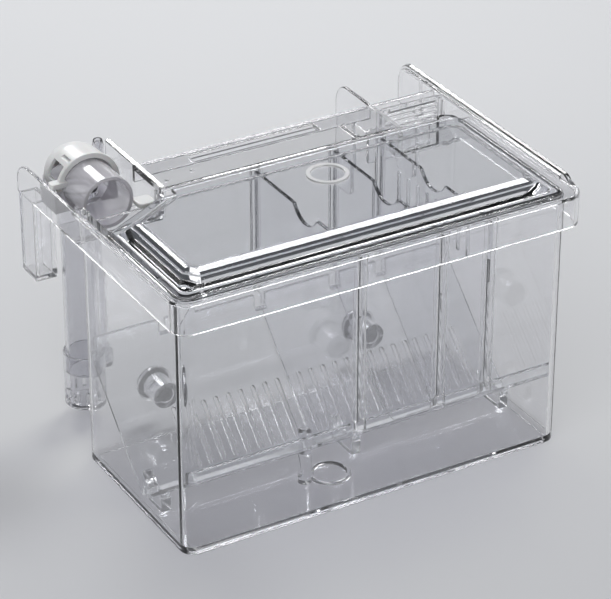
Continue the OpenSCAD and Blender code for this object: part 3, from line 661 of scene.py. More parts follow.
    def rounded(self, width: EdgeWidth | Rounding, segments: int = 3) -> "Shape":
        """Rounds the edges, as a mould does.

        Args:
            width: One rounding for every edge, or a rule that gives each edge's own from its ends.
            segments: Faces across each rounding.

        Returns:
            The rounded shape.
        """
        rule = width if callable(width) else lambda start, end: width.value
        bm = bmesh.new()
        bm.from_mesh(self.mesh)
        edges = [edge for edge in bm.edges if edge.is_manifold and edge.calc_face_angle() > self.edge_angle]
        widths = {}
        for chain in self.chains(edges):
            wanted = max(rule(edge.verts[0].co, edge.verts[1].co) for edge in chain)
            room = min(self.room_beside(edge) for edge in chain)
            widths.update({edge.index: min(wanted, room) for edge in chain})
        widest = max(widths.values())
        weight = bm.edges.layers.float.new("bevel_weight_edge")
        bm.edges.ensure_lookup_table()
        for index, value in widths.items():
            bm.edges[index][weight] = value / widest
        bm.to_mesh(self.mesh)
        bm.free()
        self.mesh.materials.clear()
        for _ in range(2):
            self.mesh.materials.append(None)
        holder = self.as_object()
        bevel = holder.modifiers.new("bevel", "BEVEL")
        bevel.limit_method = "WEIGHT"
        bevel.segments = segments
        bevel.use_clamp_overlap = False
        bevel.material = 1
        for share in self.rounding_tries:
            bevel.width = widest * share
            result = Shape(self.evaluated(holder))
            if result.folded_area() < self.fold_limit:
                break
            LOG.info("rounding narrowed from %.2f mm", bevel.width)
        bpy.data.objects.remove(holder)
        return result

    def folded_area(self) -> float:
        """Returns how much more than their own area the triangles of many-sided faces cover, in square millimetres."""
        self.mesh.calc_loop_triangles()
        places = [vertex.co for vertex in self.mesh.vertices]
        many_sided = {face.index: face.area for face in self.mesh.polygons if len(face.vertices) > 4}
        covered = 0.0
        for triangle in self.mesh.loop_triangles:
            if triangle.polygon_index in many_sided:
                a, b, c = (places[i] for i in triangle.vertices)
                covered += (b - a).cross(c - a).length / 2
        return abs(covered - sum(many_sided.values()))

    def shaded(self) -> "Shape":
        """Keeps flat faces flat to the eye and lets the roundings turn from one to the next.

        Returns:
            The shape with its own normals, and all its faces in the first material slot.
        """
        faces = self.mesh.polygons
        normals = [face.normal.copy() for face in faces]
        weights = [face.area ** 2 * (self.rounding_share if face.material_index else 1.0) + 1e-12 for face in faces]
        around: dict[int, list[int]] = {}
        for face in faces:
            for corner in face.vertices:
                around.setdefault(corner, []).append(face.index)
        custom = []
        for face in faces:
            own = normals[face.index]
            for corner in face.vertices:
                total = Vector()
                for other in around[corner]:
                    if own.dot(normals[other]) > self.smooth_limit:
                        total += normals[other] * weights[other]
                custom.append(total.normalized() if total.length > 0 else own)
        for face in faces:
            face.material_index = 0
            face.use_smooth = True
        self.mesh.normals_split_custom_set(custom)
        return self

    def piece(self, name: str, material: bpy.types.Material, body: str, slot: str,
              stands_for: Sequence[str]) -> bpy.types.Object:
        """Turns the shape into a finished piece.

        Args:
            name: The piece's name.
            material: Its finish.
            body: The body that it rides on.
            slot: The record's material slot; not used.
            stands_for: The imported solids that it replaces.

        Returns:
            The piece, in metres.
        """
        self.shaded().mesh.transform(Matrix.Scale(MILLIMETRE, 4))
        self.mesh.name = name
        self.mesh.materials.clear()
        self.mesh.materials.append(material)
        piece = bpy.data.objects.new(name, self.mesh)
        bpy.context.scene.collection.objects.link(piece)
        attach(piece, body)
        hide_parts(*stands_for)
        LOG.info("%s: %d faces on %s", name, len(self.mesh.polygons), body)
        return piece


def corners(node: str) -> tuple[Vector, Vector]:
    """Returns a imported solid's lowest and highest corners, in millimetres."""
    low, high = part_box(node)
    return low / MILLIMETRE, high / MILLIMETRE


@dataclass
class TankMoulding:
    """The clear tank with its rim, hooks, channels and locating post, moulded in one."""

    finish: CrystalPolystyrene
    copied: tuple[str, ...] = ("bridge_plate", "rear_bar", "left_leg", "outlet_spout", "inlet_trough")
    drawn: tuple[str, ...] = ("tank", "front_skirt", "left_arm", "right_arm", "outlet_cheek", "trap_post")
    wall: float = 2.0
    floor: float = 2.5
    corner: float = 5.0
    skirt_wall: float = 1.6
    rim_corner: float = 6.5
    web: float = 1.8
    sink: float = 1.3
    side_sink: float = 0.8
    inlet_inset: float = 2.45
    clearance: float = 1.6
    # The top of the trough's wall leans to the left, so that its whole width catches the light
    trough_slant: float = 0.58
    arm_slant: float = 0.63
    bead_slant: float = 0.35
    bead_inset: tuple[float, float] = (1.3, 2.3)
    bead_depth: float = 0.9
    bead_foot: float = 0.2
    step_inset: float = 2.4
    step_depth: float = 1.5
    step_start: float = 42.5
    step_low: float = 86.0
    # Parts that lie flush are stepped by this little, so that their faces don't coincide
    flush_step: float = 0.02
    hook_corner: float = 8.0
    leg_corner: float = 3.0
    leg_sink: float = 0.3
    channel_floor: float = 90.5
    bead_ramp: float = 6.0
    foot_width: float = 4.0
    foot_height: float = 0.4
    foot_rounding: float = 1.0
    rib_places: tuple[float, ...] = (-9.0, 24.0, 44.0)
    rib_offset: float = 1.75
    rib_width: float = 1.2
    rib_depth: float = 1.6
    rib_root: float = 0.4
    rib_foot_front: float = 34.0
    rib_foot_back: float = 52.0
    rib_drop: float = 0.6
    socket_radii: tuple[float, float] = (3.05, 5.2)
    socket_inset: float = 34.0
    socket_height: float = 16.0
    ring_radius: float = 6.9
    ring_width: float = 2.0
    ring_steps: int = 10
    ring_gap: float = 10.4
    mark_radius: float = 0.9
    mark_height: float = 0.3
    mark_places: tuple[tuple[float, float], ...] = ((-42.0, 21.0), (-36.5, 28.5), (-30.5, 23.5))

    def __post_init__(self) -> None:
        """Takes the moulding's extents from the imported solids."""
        skirt_low, self.skirt_top = corners("front_skirt")
        self.skirt_low = skirt_low.z
        self.top = self.skirt_top.z
        self.left, self.front = corners("left_arm")[0].x, skirt_low.y
        right_low, right_high = corners("right_arm")
        self.right, self.hook_back, self.leg_end, self.bead_top = right_high.x, right_high.y, right_low.z, right_high.z
        tank_low, tank_high = corners("tank")
        self.tank_left, self.tank_front, self.tank_right = tank_low.x, tank_low.y, tank_high.x
        cheek_low, cheek_high = corners("outlet_cheek")
        self.tank_back, self.cheek_left, self.cheek_right = cheek_low.y, cheek_low.x, cheek_low.x + self.skirt_wall
        self.cheek_low = self.channel_floor - self.web
        self.notch_floor = self.channel_floor - self.flush_step
        self.leg_front = self.hook_back - 13.0
        self.trough_right = corners("inlet_trough")[1].x
        self.arm_right = self.right - self.skirt_wall

    def walls(self) -> Shape:
        """Draws the skirt and the tank's walls, and cuts the two channels through the back wall.

        Returns:
            The hollow tank with its rim.
        """
        rim = Shape.prism(
            filleted(rectangle((self.left, self.front), (self.right, self.tank_back)),
                     (self.rim_corner, self.rim_corner, 0, 0)), Axis.Z, self.skirt_low, self.top)
        under = Shape.prism(
            filleted(rectangle((self.left, self.front), (self.right, self.tank_back + 10)),
                     (self.rim_corner, self.rim_corner, 0, 0), self.skirt_wall),
            Axis.Z, self.skirt_low - 1, self.top - self.web)
        behind = Shape.block((self.tank_right - self.corner, self.tank_back - self.corner - self.clearance,
                              self.skirt_low), (self.arm_right, self.tank_back + 1, self.top + 1))
        outer = rectangle((self.tank_left, self.tank_front), (self.tank_right, self.tank_back))
        tank = Shape.prism(filleted(outer, [self.corner] * 4), Axis.Z, 0, self.top)
        room = Shape.prism(filleted(outer, [self.corner] * 4, self.wall), Axis.Z, self.floor, self.top + 1)
        inlet = Shape.block((self.tank_left + self.inlet_inset, self.tank_back - self.corner, self.notch_floor),
                            (self.trough_right - self.side_sink, self.tank_back + 1, self.top + 1))
        outlet = Shape.block((self.cheek_right, self.tank_back - self.wall - 0.5, self.notch_floor),
                             (self.tank_right - self.corner - self.clearance, self.tank_back + 1, self.top + 1))
        foot = Shape.prism(filleted(outer, [self.corner] * 4, self.foot_width), Axis.Z, -1.0, self.foot_height)
        return rim.cut(under, behind).joined(tank, *self.hooks()).cut(room, inlet, outlet, foot)

    def hooks(self) -> list[Shape]:
        """Draws the two arms and the cheek, which end in the hooks behind the aquarium's glass.

        Returns:
            The three plates.
        """
        start = self.front + self.rim_corner
        low, top, back = self.skirt_low, self.top, self.hook_back
        left = filleted(rectangle((start, low), (back, top)), (0, 0, self.hook_corner, 0))
        leg = [(self.leg_front, self.leg_end), (back, self.leg_end)]
        right = filleted([(start, low), (self.leg_front, low), *leg, (back, self.bead_top),
                          (start + self.bead_ramp, self.bead_top), (start, top)],
                         (0, 0, self.leg_corner, self.leg_corner, self.hook_corner, 0, 0))
        root = self.tank_back - self.sink
        cheek = filleted([(root, self.cheek_low), (self.leg_front, self.cheek_low), *leg, (back, top), (root, top)],
                         (0, 0, self.leg_corner, self.leg_corner, self.hook_corner, 0))
        return [Shape.prism(left, Axis.X, self.left, self.left + self.skirt_wall),
                Shape.prism(right, Axis.X, self.arm_right, self.right).moved(self.leant),
                Shape.prism(cheek, Axis.X, self.cheek_left, self.cheek_right)]

    def leant(self, place: Vector) -> Vector:
        """Lowers the inner side of the right arm's top, so that its whole width catches the light.

        Args:
            place: A corner of the arm.

        Returns:
            Its new place.
        """
        share = min(max((place.z - self.bead_top + self.hook_corner) / self.hook_corner, 0.0), 1.0)
        inside = place.x < self.arm_right + 0.05
        return Vector((place.x, place.y, place.z - (self.arm_slant * share if inside else 0)))

    def arm_beads(self) -> list[Shape]:
        """Draws the bead along the right arm's inner face and the thick step in its rounded back end.

        Returns:
            The bead and the step.
        """
        start, back, corner = self.front + self.rim_corner + self.bead_ramp, self.hook_back, self.hook_corner
        face, root = self.arm_right, self.arm_right + self.side_sink
        plan = rectangle((start, self.leg_end), (back, self.bead_top))
        outer, inner = (filleted(plan, (0, 0, corner, 0), inset) for inset in self.bead_inset)
        bead = Shape.prism(outer, Axis.X, face - self.bead_depth, root).cut(
            Shape.prism(inner, Axis.X, face - 2, root + 1),
            Shape.block((face - 2, start - 1, 0), (root + 1, back - corner, self.top + self.bead_foot)),
            Shape.block((face - 2, start - 1, 0), (root + 1, back + 1, self.step_low))).moved(
            lambda p: Vector((p.x, p.y, p.z - (self.bead_slant if p.x < face - 0.05 else 0))))
        step = filleted(rectangle((self.step_start, self.step_low), (back, self.bead_top)), (2.0, 0, corner, 2.0),
                        self.step_inset)
        return [bead, Shape.prism(step, Axis.X, face - self.step_depth, root)]

    def ribs(self) -> list[Shape]:
        """Draws the pairs of ribs that hold the dividers.

        Returns:
            The ribs, sunk a little into their walls.
        """
        walls = ((self.tank_front + self.wall, 1, self.rib_foot_front),
                 (self.tank_back - self.wall, -1, self.rib_foot_back))
        ribs = []
        for place in self.rib_places:
            for side in (-self.rib_offset, self.rib_offset):
                for wall_y, way, foot in walls:
                    ends = sorted((wall_y - way * self.rib_root, wall_y + way * self.rib_depth))
                    middle = place + side
                    ribs.append(Shape.block((middle - self.rib_width / 2, ends[0], foot),
                                            (middle + self.rib_width / 2, ends[1], self.top - self.rib_drop)))
        return ribs

    def grille_guides(self) -> list[Shape]:
        """Draws the ribs on both sides of the outlet that hold the grille's edges."""
        low, high = corners("outlet_grille")
        middle = high.y - 0.8
        guides = []
        for x in ((self.cheek_right - 0.4, self.cheek_right + 1.2), (self.arm_right - 1.2, self.arm_right + 0.4)):
            for y in (middle - 2.2, middle + 1.2):
                guides.append(Shape.block((x[0], y, self.channel_floor - 0.4), (x[1], y + 1.0, self.top - 1.0)))
        return guides

    def fixtures(self) -> list[Shape]:
        """Draws the spacers' sockets, the locating post, the ring on the floor and the mould's marks.

        Returns:
            The turned details.
        """
        bore, outer = self.socket_radii
        sink = self.tank_back - self.rib_root
        end = corners("tank")[1].y
        sockets = [Shape.turned([(bore, sink), (outer, sink), (outer, end), (bore, end)], (x, 0, self.socket_height),
                                Axis.Y)
                   for x in (self.tank_left + self.socket_inset, self.tank_right - self.socket_inset)]
        low, high = corners("trap_post")
        middle, radius = (low + high) / 2, (high.x - low.x) / 2
        root = self.floor - self.rib_root
        post = Shape.turned([(0, root), (radius, root), (radius, high.z - 1), (radius - 1, high.z), (0, high.z)],
                            (middle.x, middle.y, 0), steps=32)
        half, bend = self.ring_width / 2, [math.pi * i / self.ring_steps for i in range(self.ring_steps + 1)]
        ring = Shape.turned([(self.ring_radius - half, root), (self.ring_radius + half, root),
                             *((self.ring_radius + half * math.cos(angle), self.floor + half * math.sin(angle))
                               for angle in bend)], (middle.x + self.ring_gap, middle.y, 0))
        marks = [Shape.turned([(0, -0.5), (self.mark_radius, -0.5), (self.mark_radius, self.mark_height),
                               (0, self.mark_height)], (x, y, self.top), steps=20) for x, y in self.mark_places]
        return [*sockets, post, ring, *marks]

    def edge_width(self, start: Vector, end: Vector) -> float:
        """Rounds the foot widely, the rim's top edges softly and the rest crisply.

        Args:
            start: One end of an edge.
            end: The other end.

        Returns:
            The rounding's width.
        """
        if max(start.z, end.z) < 0.05:
            return self.foot_rounding
        if self.top - 0.05 < min(start.z, end.z) < self.top + self.bead_foot:
            return Rounding.SOFT.value
        return Rounding.CRISP.value

    def rooted(self, place: Vector) -> Vector:
        """Moves a part's corner that only touches its neighbour into the neighbour.

        Args:
            place: The corner.

        Returns:
            Its new place.
        """
        result = place.copy()
        if abs(place.z - self.top) < 0.05:
            result.z -= self.flush_step
        if abs(place.z - self.cheek_low) < 0.05:
            result.z += self.flush_step
        if abs(place.y - self.tank_back) < 0.05:
            result.y -= self.sink
        elif abs(place.y - corners("rear_bar")[0].y) < 0.05 and place.z > self.top - self.web - 0.05:
            result.y += self.side_sink
            result.z -= self.flush_step
        for wall, way in ((self.trough_right, -1), (self.cheek_left, 1), (self.cheek_right, -1), (self.arm_right, 1)):
            if abs(place.x - wall) < 0.05:
                result.x += way * self.side_sink
        return result

    def copies(self) -> list[Shape]:
        """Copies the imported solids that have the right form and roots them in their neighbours.

        Returns:
            The copies.
        """
        bridge, bar, spout, trough = (
            Shape.of_node(node) for node in ("bridge_plate", "rear_bar", "outlet_spout", "inlet_trough"))
        leg = Shape.of_node("left_leg").moved(
            lambda p: Vector((p.x + (self.flush_step if p.x < self.left + 0.05 else 0), p.y,
                              p.z + (self.leg_sink if p.z > self.skirt_low - 0.05 else 0))))
        bar_front = corners("rear_bar")[0].y
        bar.moved(lambda p: Vector((self.rooted(p).x, p.y, p.z)))
        trough.moved(lambda p: Vector((
            p.x, self.rooted(p).y if p.y < bar_front - 10 else p.y,
            p.z - (self.trough_slant if p.z > self.bead_top - 2 and p.x < self.trough_right - 1 else 0))))
        return [bridge.moved(self.rooted), bar, spout.moved(self.rooted), trough, leg]

    def shape(self) -> Shape:
        """Rounds the parts of the moulding and joins them.

        Returns:
            The whole moulding.
        """
        parts = [*self.copies(), *self.arm_beads(), *self.ribs(), *self.grille_guides(), *self.fixtures()]
        return self.walls().rounded(self.edge_width).fused(*(part.rounded(self.edge_width) for part in parts))

    def build(self) -> None:
        """Builds and dresses the moulding."""
        self.shape().piece(
            "tank_moulding", self.finish.build(), "box", "clear_moulding", (*self.copied, *self.drawn))


@dataclass
class Lid:
    """The lid with its raised panel, whose top edge is thick and catches the light, and its frosted ring."""

    finish: CrystalPolystyrene
    ring_finish: FrostedPolystyrene
    plate: float = 1.5
    corner: float = 5.0
    cut_length: float = 35.5
    cut_depth: float = 19.5
    notch_right: float = -45.0
    notch_front: float = 8.0
    flange: float = 3.5
    back_flange: float = 7.5
    panel_height: float = 4.2
    side_slope: float = 36.5
    facet_slope: float = 18.0
    front_facet: float = 2.6
    left_facet: float = 1.2
    edge_radius: float = 0.35
    front_edge: float = 8.2
    left_edge: float = 7.4
    ring_radii: tuple[float, float] = (6.2, 7.8)
    ring_place: tuple[float, float] = (4.25, -13.5)
    ring_height: float = 0.8

    def outline(self, front: float, left: float, plain: float, radius: float) -> Outline:
        """Draws the lid's plan, with its back left corner cut across.

        Args:
            front: How far the front lies inside the lid's edge.
            left: The same for the left side.
            plain: The same for the right side, the back and the cut corner, beyond their own flanges.
            radius: Radius of the round corners.

        Returns:
            The outline.
        """
        low, high = corners("lid")
        flange, back_flange = (self.flange, self.back_flange) if front or left or plain else (0.0, 0.0)
        start_x, start_y = low.x + flange + left, low.y + flange + front
        end_x, end_y = high.x - flange - plain, high.y - back_flange - plain
        lean = math.atan2(self.cut_depth, self.cut_length)
        cut_y = high.y - self.cut_depth + (start_x - low.x) * math.tan(lean) - (flange + plain) / math.cos(lean)
        cut_x = start_x + (end_y - cut_y) / math.tan(lean)
        return filleted([(start_x, start_y), (end_x, start_y), (end_x, end_y), (cut_x, end_y), (start_x, cut_y)],
                        (radius, radius, radius, 1.5, 1.5), steps=8)

    def reach(self, height: float, facet_width: float) -> float:
        """Returns how far a side of the panel has drawn in at a height, measured down from the panel's top.

        Args:
            height: The height, zero or less.
            facet_width: How wide the side's facet is; zero for a side without one.

        Returns:
            The way inwards from the side's foot.
        """
        slope, facet = math.tan(math.radians(self.side_slope)), math.radians(self.facet_slope)
        knee = -facet_width * math.sin(facet)
        return (min(height, knee) + self.panel_height) / slope + max(height - knee, 0) / math.tan(facet)

    def panel(self) -> Shape:
        """Draws the raised panel: steep sides, facets that catch the light at the front and left, and the flat top.

        Returns:
            The panel.
        """
        low, _ = corners("lid")
        top = low.z + self.plate + self.panel_height
        knees = [-width * math.sin(math.radians(self.facet_slope)) for width in (self.front_facet, self.left_facet)]
        ease = self.edge_radius
        heights = [-self.panel_height * 1.3]
        for knee in knees:
            heights += [knee - ease * 0.6, knee - ease * 0.1, knee + ease * 0.3]
        heights += [-ease * 0.3, -ease * 0.05, 0.0]
        rings = []
        for height in heights:
            sides = [self.reach(height, width) for width in (self.front_facet, self.left_facet, 0.0)]
            if height == 0:
                sides = [side + ease for side in sides]
            rings.append((self.outline(*sides, self.corner - 1.5), top + height))
        return Shape.lofted(rings)

    def hollow(self) -> Shape:
        """Draws the room under the panel: its walls are thin but for the front and left edges, which stay thick.

        Returns:
            The room.
        """
        low, _ = corners("lid")
        top = low.z + self.panel_height
        slope = math.radians(self.side_slope)
        wall = self.plate / math.cos(slope) - self.plate
        rings = []
        for height, more in ((-5.0, 0.0), (0.0, 0.0), (self.panel_height - 0.6, 0.0), (self.panel_height - 0.25, 0.18),
                             (self.panel_height, 0.6)):
            plain = (max(height, 0) + wall) / math.tan(slope) + more
            rings.append((self.outline(self.front_edge + more, self.left_edge + more, plain, self.corner - 1.5),
                          min(low.z + height, top)))
        return Shape.lofted(rings)

    def build(self) -> None:
        """Builds and dresses the lid."""
        low, high = corners("lid")
        base = low.z + AIR_FILM
        plate = Shape.prism(self.outline(0, 0, 0, self.corner), Axis.Z, base, low.z + self.plate)
        notch = Shape.block((low.x - 1, self.notch_front, base - 1), (self.notch_right, high.y + 1, high.z))
        inner, outer = self.ring_radii
        ring_foot = low.z + self.plate + self.panel_height
        ring = Shape.turned([(inner, ring_foot - 0.3), (outer, ring_foot - 0.3), (outer, ring_foot + self.ring_height),
                             (inner, ring_foot + self.ring_height)], (*self.ring_place, 0), steps=56)
        floor = Shape.block((low.x - 1, low.y - 1, base - 10), (high.x + 1, high.y + 1, base))
        lid = plate.cut(notch).joined(self.panel().cut(floor)).cut(self.hollow()).joined(ring).rounded(
            self.edge_width).piece("lid_shell", self.finish.build(), "lid", "clear_moulding", ["lid"])
        lid.data.materials.append(self.ring_finish.build())
        for face in lid.data.polygons:
            face.material_index = int(face.center.z > (ring_foot + 0.01) * MILLIMETRE)

    def edge_width(self, start: Vector, end: Vector) -> float:
        """Rounds the ring finely and the rest softly, as far as the plate's thickness allows."""
        return Rounding.FINE.value if min(start.z, end.z) > corners("lid")[1].z - 0.9 else Rounding.SOFT.value


@dataclass
class BreedingTrap:
    """The V shaped trap: a plain front plate and a back plate with round-ended slots, held by three feet."""

    finish: CrystalPolystyrene
    thick: float = 1.5
    lip: float = 3.0
    gap: float = 0.4
    corner: float = 2.6
    valley_height: float = 8.0
    front_height: float = 30.0
    slot_count: int = 24
    slot_pitch: float = 5.1
    slot_width: float = 1.6
    slot_length: float = 23.0
    slot_from_gap: float = 3.0
    slot_start: float = -54.4
    foot_width: float = 4.0
    foot_reach: float = 6.0
    foot_low: float = 2.8
    foot_bridge: float = 0.4
    notch_half: float = 2.75
    notch_depth: float = 2.2
    notch_places: tuple[float, ...] = (-9.0, 24.0, 44.0)

    def __post_init__(self) -> None:
        """Takes the trap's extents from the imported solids."""
        self.front_low, self.front_high = corners("trap_front_plate")
        self.back_low, self.back_high = corners("trap_back_plate")
        self.back_height = self.back_high.z - self.lip
        self.front_slope = (self.front_height - self.valley_height) / (self.front_high.y - self.front_low.y)
        self.back_slope = (self.back_height - self.valley_height) / (self.back_high.y - self.back_low.y)
        self.front_drop = self.thick / math.cos(math.atan(self.front_slope))
        self.back_drop = self.thick / math.cos(math.atan(self.back_slope))

    def front_plate(self) -> Shape:
        """Draws the front plate with its lip.

        Returns:
            The plate.
        """
        front, valley, low = self.front_low.y, self.front_high.y, self.valley_height
        outline = [(front, self.front_height - self.front_drop), (valley, low - self.front_drop), (valley, low),
                   (front + self.thick, self.front_height - self.front_slope * self.thick),
                   (front + self.thick, self.front_high.z), (front, self.front_high.z)]
        return Shape.prism(outline, Axis.X, self.front_low.x, self.front_high.x)

    def post_hole(self) -> Shape:
        """Draws what is cut out of the front plate for the locating post."""
        low, high = corners("trap_post")
        post = (low + high) / 2
        radius = high.x - post.x + self.gap
        return Shape.turned([(0, 0), (radius, 0), (radius, 60), (0, 60)], (post.x, post.y, 0), steps=40)

    def slot_cutter(self, x: float) -> Shape:
        """Draws one round-ended slot's cutter in the back plate's plane.

        Args:
            x: The slot's place along the plate.

        Returns:
            The cutter.
        """
        half = self.slot_width / 2
        end = self.slot_from_gap + self.slot_length
        outline = filleted(rectangle((-half, self.slot_from_gap), (half, end)), [half * 0.98] * 4, steps=5)
        return Shape.prism(outline, Axis.Z, -2 * self.thick, self.thick).placed(
            Matrix.Translation((x, self.back_low.y, self.valley_height))
            @ Matrix.Rotation(math.atan(self.back_slope), 4, "X"))

    def back_plate(self) -> Shape:
        """Draws the back plate with its lip and slots.

        Returns:
            The plate.
        """
        valley, back, low = self.back_low.y, self.back_high.y, self.valley_height
        outline = [(valley, low - self.back_drop), (back, self.back_height - self.back_drop), (back, self.back_high.z),
                   (back - self.thick, self.back_high.z),
                   (back - self.thick, self.back_height - self.back_slope * self.thick), (valley, low)]
        slots = [self.slot_cutter(self.slot_start + i * self.slot_pitch) for i in range(self.slot_count)]
        return Shape.prism(outline, Axis.X, self.back_low.x, self.back_high.x).cut(*slots)

    def feet(self) -> list[Shape]:
        """Draws the three feet, which also bridge the gap at the bottom of the V.

        Returns:
            The feet, sunk a little into the plates.
        """
        start, end, low = self.front_high.y, self.back_low.y, self.valley_height
        sink = self.thick * 0.55
        outline = [
            (start - self.foot_reach, self.foot_low), (end + self.foot_reach, self.foot_low),
            (end + self.foot_reach, low + self.back_slope * self.foot_reach - self.back_drop + sink),
            (end, low - self.back_drop + sink), (end, low - self.foot_bridge), (start, low - self.foot_bridge),
            (start, low - self.front_drop + sink),
            (start - self.foot_reach, low + self.front_slope * self.foot_reach - self.front_drop + sink)]
        left, right = self.back_low.x, self.back_high.x
        places = (left + 3, (left + right) / 2 + self.foot_width, right - 3 - self.foot_width)
        return [Shape.prism(outline, Axis.X, x, x + self.foot_width) for x in places]

    def notches(self) -> list[Shape]:
        """Draws what frees the trap from the tank's ribs and the gate's guides when it is lifted.

        Returns:
            The cutters.
        """
        front, back = self.front_low.y - self.gap, self.back_high.y + self.gap
        cutters = []
        for x in self.notch_places:
            cutters.append(Shape.block((x - self.notch_half, front - 1, 0), (x + self.notch_half,
                                                                           front + self.notch_depth, 90)))
            cutters.append(Shape.block((x - self.notch_half, back - self.notch_depth, 0), (x + self.notch_half,
                                                                                          back + 1, 90)))
        guide = self.back_high.y - self.thick - self.gap / 2
        trough_right = corners("inlet_trough")[1].x
        cutters.append(Shape.block((self.back_low.x - 1, guide, 0), (self.back_low.x + 1.9, back + 1, 90)))
        cutters.append(Shape.block((trough_right - 3.1, guide, 0), (trough_right + self.gap, back + 1, 90)))
        return cutters

    def build(self) -> None:
        """Builds and dresses the trap."""
        plan = filleted(rectangle((self.front_low.x, self.front_low.y), (self.back_high.x, self.back_high.y)),
                        [self.corner] * 4, steps=8)
        room = Shape.prism(plan, Axis.Z, 0, 90)
        front, back = (plate.within(room).cut(*self.notches()).rounded(Rounding.CRISP)
                       for plate in (self.front_plate(), self.back_plate()))
        feet = (foot.rounded(Rounding.CRISP) for foot in self.feet())
        front.fused(back, *feet).pierced(self.post_hole()).piece(
            "breeding_trap", self.finish.build(), "trap", "clear_trap",
            ["trap_front_plate", "trap_back_plate", "trap_feet"])


@dataclass
class DividerPlates:
    """The three plates that part the tank, each with a finger bite in its top edge."""

    finish: CrystalPolystyrene
    plates: tuple[tuple[str, str], ...] = (
        ("left_divider", "left_divider"), ("right_divider", "right_divider"),
        ("outlet_partition", "outlet_partition"))

    def build(self) -> None:
        """Builds and dresses the plates."""
        material = self.finish.build()
        for node, body in self.plates:
            Shape.of_node(node).rounded(Rounding.CRISP).piece(
                f"{node}_plate", material, body, "clear_divider", [node])


@dataclass
class WaterFittings:
    """The flow gate with its white grip, and the outlet's grille."""

    clear: CrystalPolystyrene
    white: WhiteAbs

    def build(self) -> None:
        """Builds and dresses the gate, its grip and the grille."""
        clear = self.clear.build()
        Shape.of_node("outlet_grille").rounded(Rounding.FINE).piece(
            "outlet_grille_frame", clear, "grille", "clear_divider", ["outlet_grille"])
        Shape.of_node("flow_gate").rounded(Rounding.CRISP).piece(
            "flow_gate_plate", clear, "gate", "clear_divider", ["flow_gate"])
        grip_low = corners("gate_grip")[0].z
        Shape.of_node("gate_grip").moved(
            lambda p: Vector((p.x, p.y, p.z + AIR_FILM)) if p.z < grip_low + 0.01 else p
        ).rounded(Rounding.SOFT).piece("gate_grip_button", self.white.build(), "gate", "white_fitting", ["gate_grip"])


@dataclass
class AirLift:
    """The lift: bowl, duct, riser, strainer and air pipe in smoky clear plastic, under a white hood."""

    smoke: CrystalPolystyrene
    frosted: FrostedPolystyrene
    white: WhiteAbs
    hood_radius: float = 11.7
    hood_wall: float = 1.3
    hood_front: float = 34.5
    hood_bead: tuple[float, float] = (0.8, 1.5)
    window: tuple[tuple[float, float], tuple[float, float]] = ((37.2, 102.8), (45.0, 109.0))
    slot: tuple[tuple[float, float], tuple[float, float]] = ((36.8, 110.1), (42.6, 111.0))
    tab_length: float = 6.4
    arc_steps: int = 14

    def hood(self) -> Shape:
        """Draws the hood: half a tube with a quarter ball, a bead round its mouth, a window, a slot and a tab.

        Returns:
            The hood.
        """
        low, high = corners("lift_hood")
        duct_low, duct_high = corners("lift_duct")
        middle, axis = (duct_low.x + duct_high.x) / 2, low.z
        radius, inner = self.hood_radius, self.hood_radius - self.hood_wall
        ball = high.y - radius
        proud, width = self.hood_bead
        profile = [(radius + proud, self.hood_front), (radius + proud, self.hood_front + width),
                   (radius, self.hood_front + width + proud / 2)]
        for size, order in ((radius, range(self.arc_steps + 1)), (inner, range(self.arc_steps, -1, -1))):
            for i in order:
                angle = math.pi / 2 * i / self.arc_steps
                profile.append((size * math.cos(angle) if i < self.arc_steps else 0.0, ball + size * math.sin(angle)))
        profile.append((inner, self.hood_front))
        shell = Shape.turned([(size, along) for size, along in profile], (middle, 0, axis), Axis.Y, steps=72)
        below = Shape.block((middle - 20, self.hood_front - 2, axis - 20), (middle + 20, high.y + 2, axis))
        openings = [Shape.prism(filleted(rectangle(*opening), [0.4] * 4, steps=4), Axis.X, low.x - 1, middle - 2)
                    for opening in (self.window, self.slot)]
        tab_low, tab_top = axis + 2.1, axis + 4.1
        tab = Shape.prism(filleted(rectangle((low.x, low.y), (low.x + self.tab_length, low.y + 3.6)),
                                   (0.9, 0, 0, 0.9), steps=5), Axis.Z, tab_low, tab_top)
        return shell.cut(below, *openings).joined(tab)

    def build(self) -> None:
        """Builds and dresses the lift."""
        smoke, frosted = self.smoke.build(), self.frosted.build()
        for node, finish in (("lift_bowl", frosted), ("lift_duct", frosted), ("riser_tube", smoke),
                             ("intake_strainer", smoke)):
            Shape.of_node(node).rounded(Rounding.CRISP).piece(f"{node}_part", finish, "uptake", "clear_lift", [node])
        Shape.of_node("air_pipe").joined(Shape.of_node("air_nozzle")).rounded(Rounding.FINE).piece(
            "air_line", smoke, "uptake", "clear_lift", ["air_pipe", "air_nozzle"])
        self.hood().rounded(Rounding.CRISP).piece(
            "lift_hood_cap", self.white.build(), "hood", "white_fitting", ["lift_hood"])


@dataclass
class LevellingSpacers:
    """The two sliding spacers low on the back wall, with their rubber pads."""

    clear: CrystalPolystyrene
    rubber: NitrileRubber
    sides: tuple[str, ...] = ("left_spacer", "right_spacer")

    def build(self) -> None:
        """Builds and dresses the spacers."""
        clear = self.clear.build()
        rubber = self.rubber.build()
        for side in self.sides:
            Shape.of_node(side).rounded(Rounding.CRISP).piece(f"{side}_rod", clear, side, "clear_divider", [side])
            front = corners(f"{side}_pad")[0].y
            Shape.of_node(f"{side}_pad").moved(
                lambda p: Vector((p.x, p.y + AIR_FILM, p.z)) if p.y < front + 0.01 else p
            ).rounded(Rounding.CRISP).piece(f"{side}_foot", rubber, side, "rubber_pad", [f"{side}_pad"])


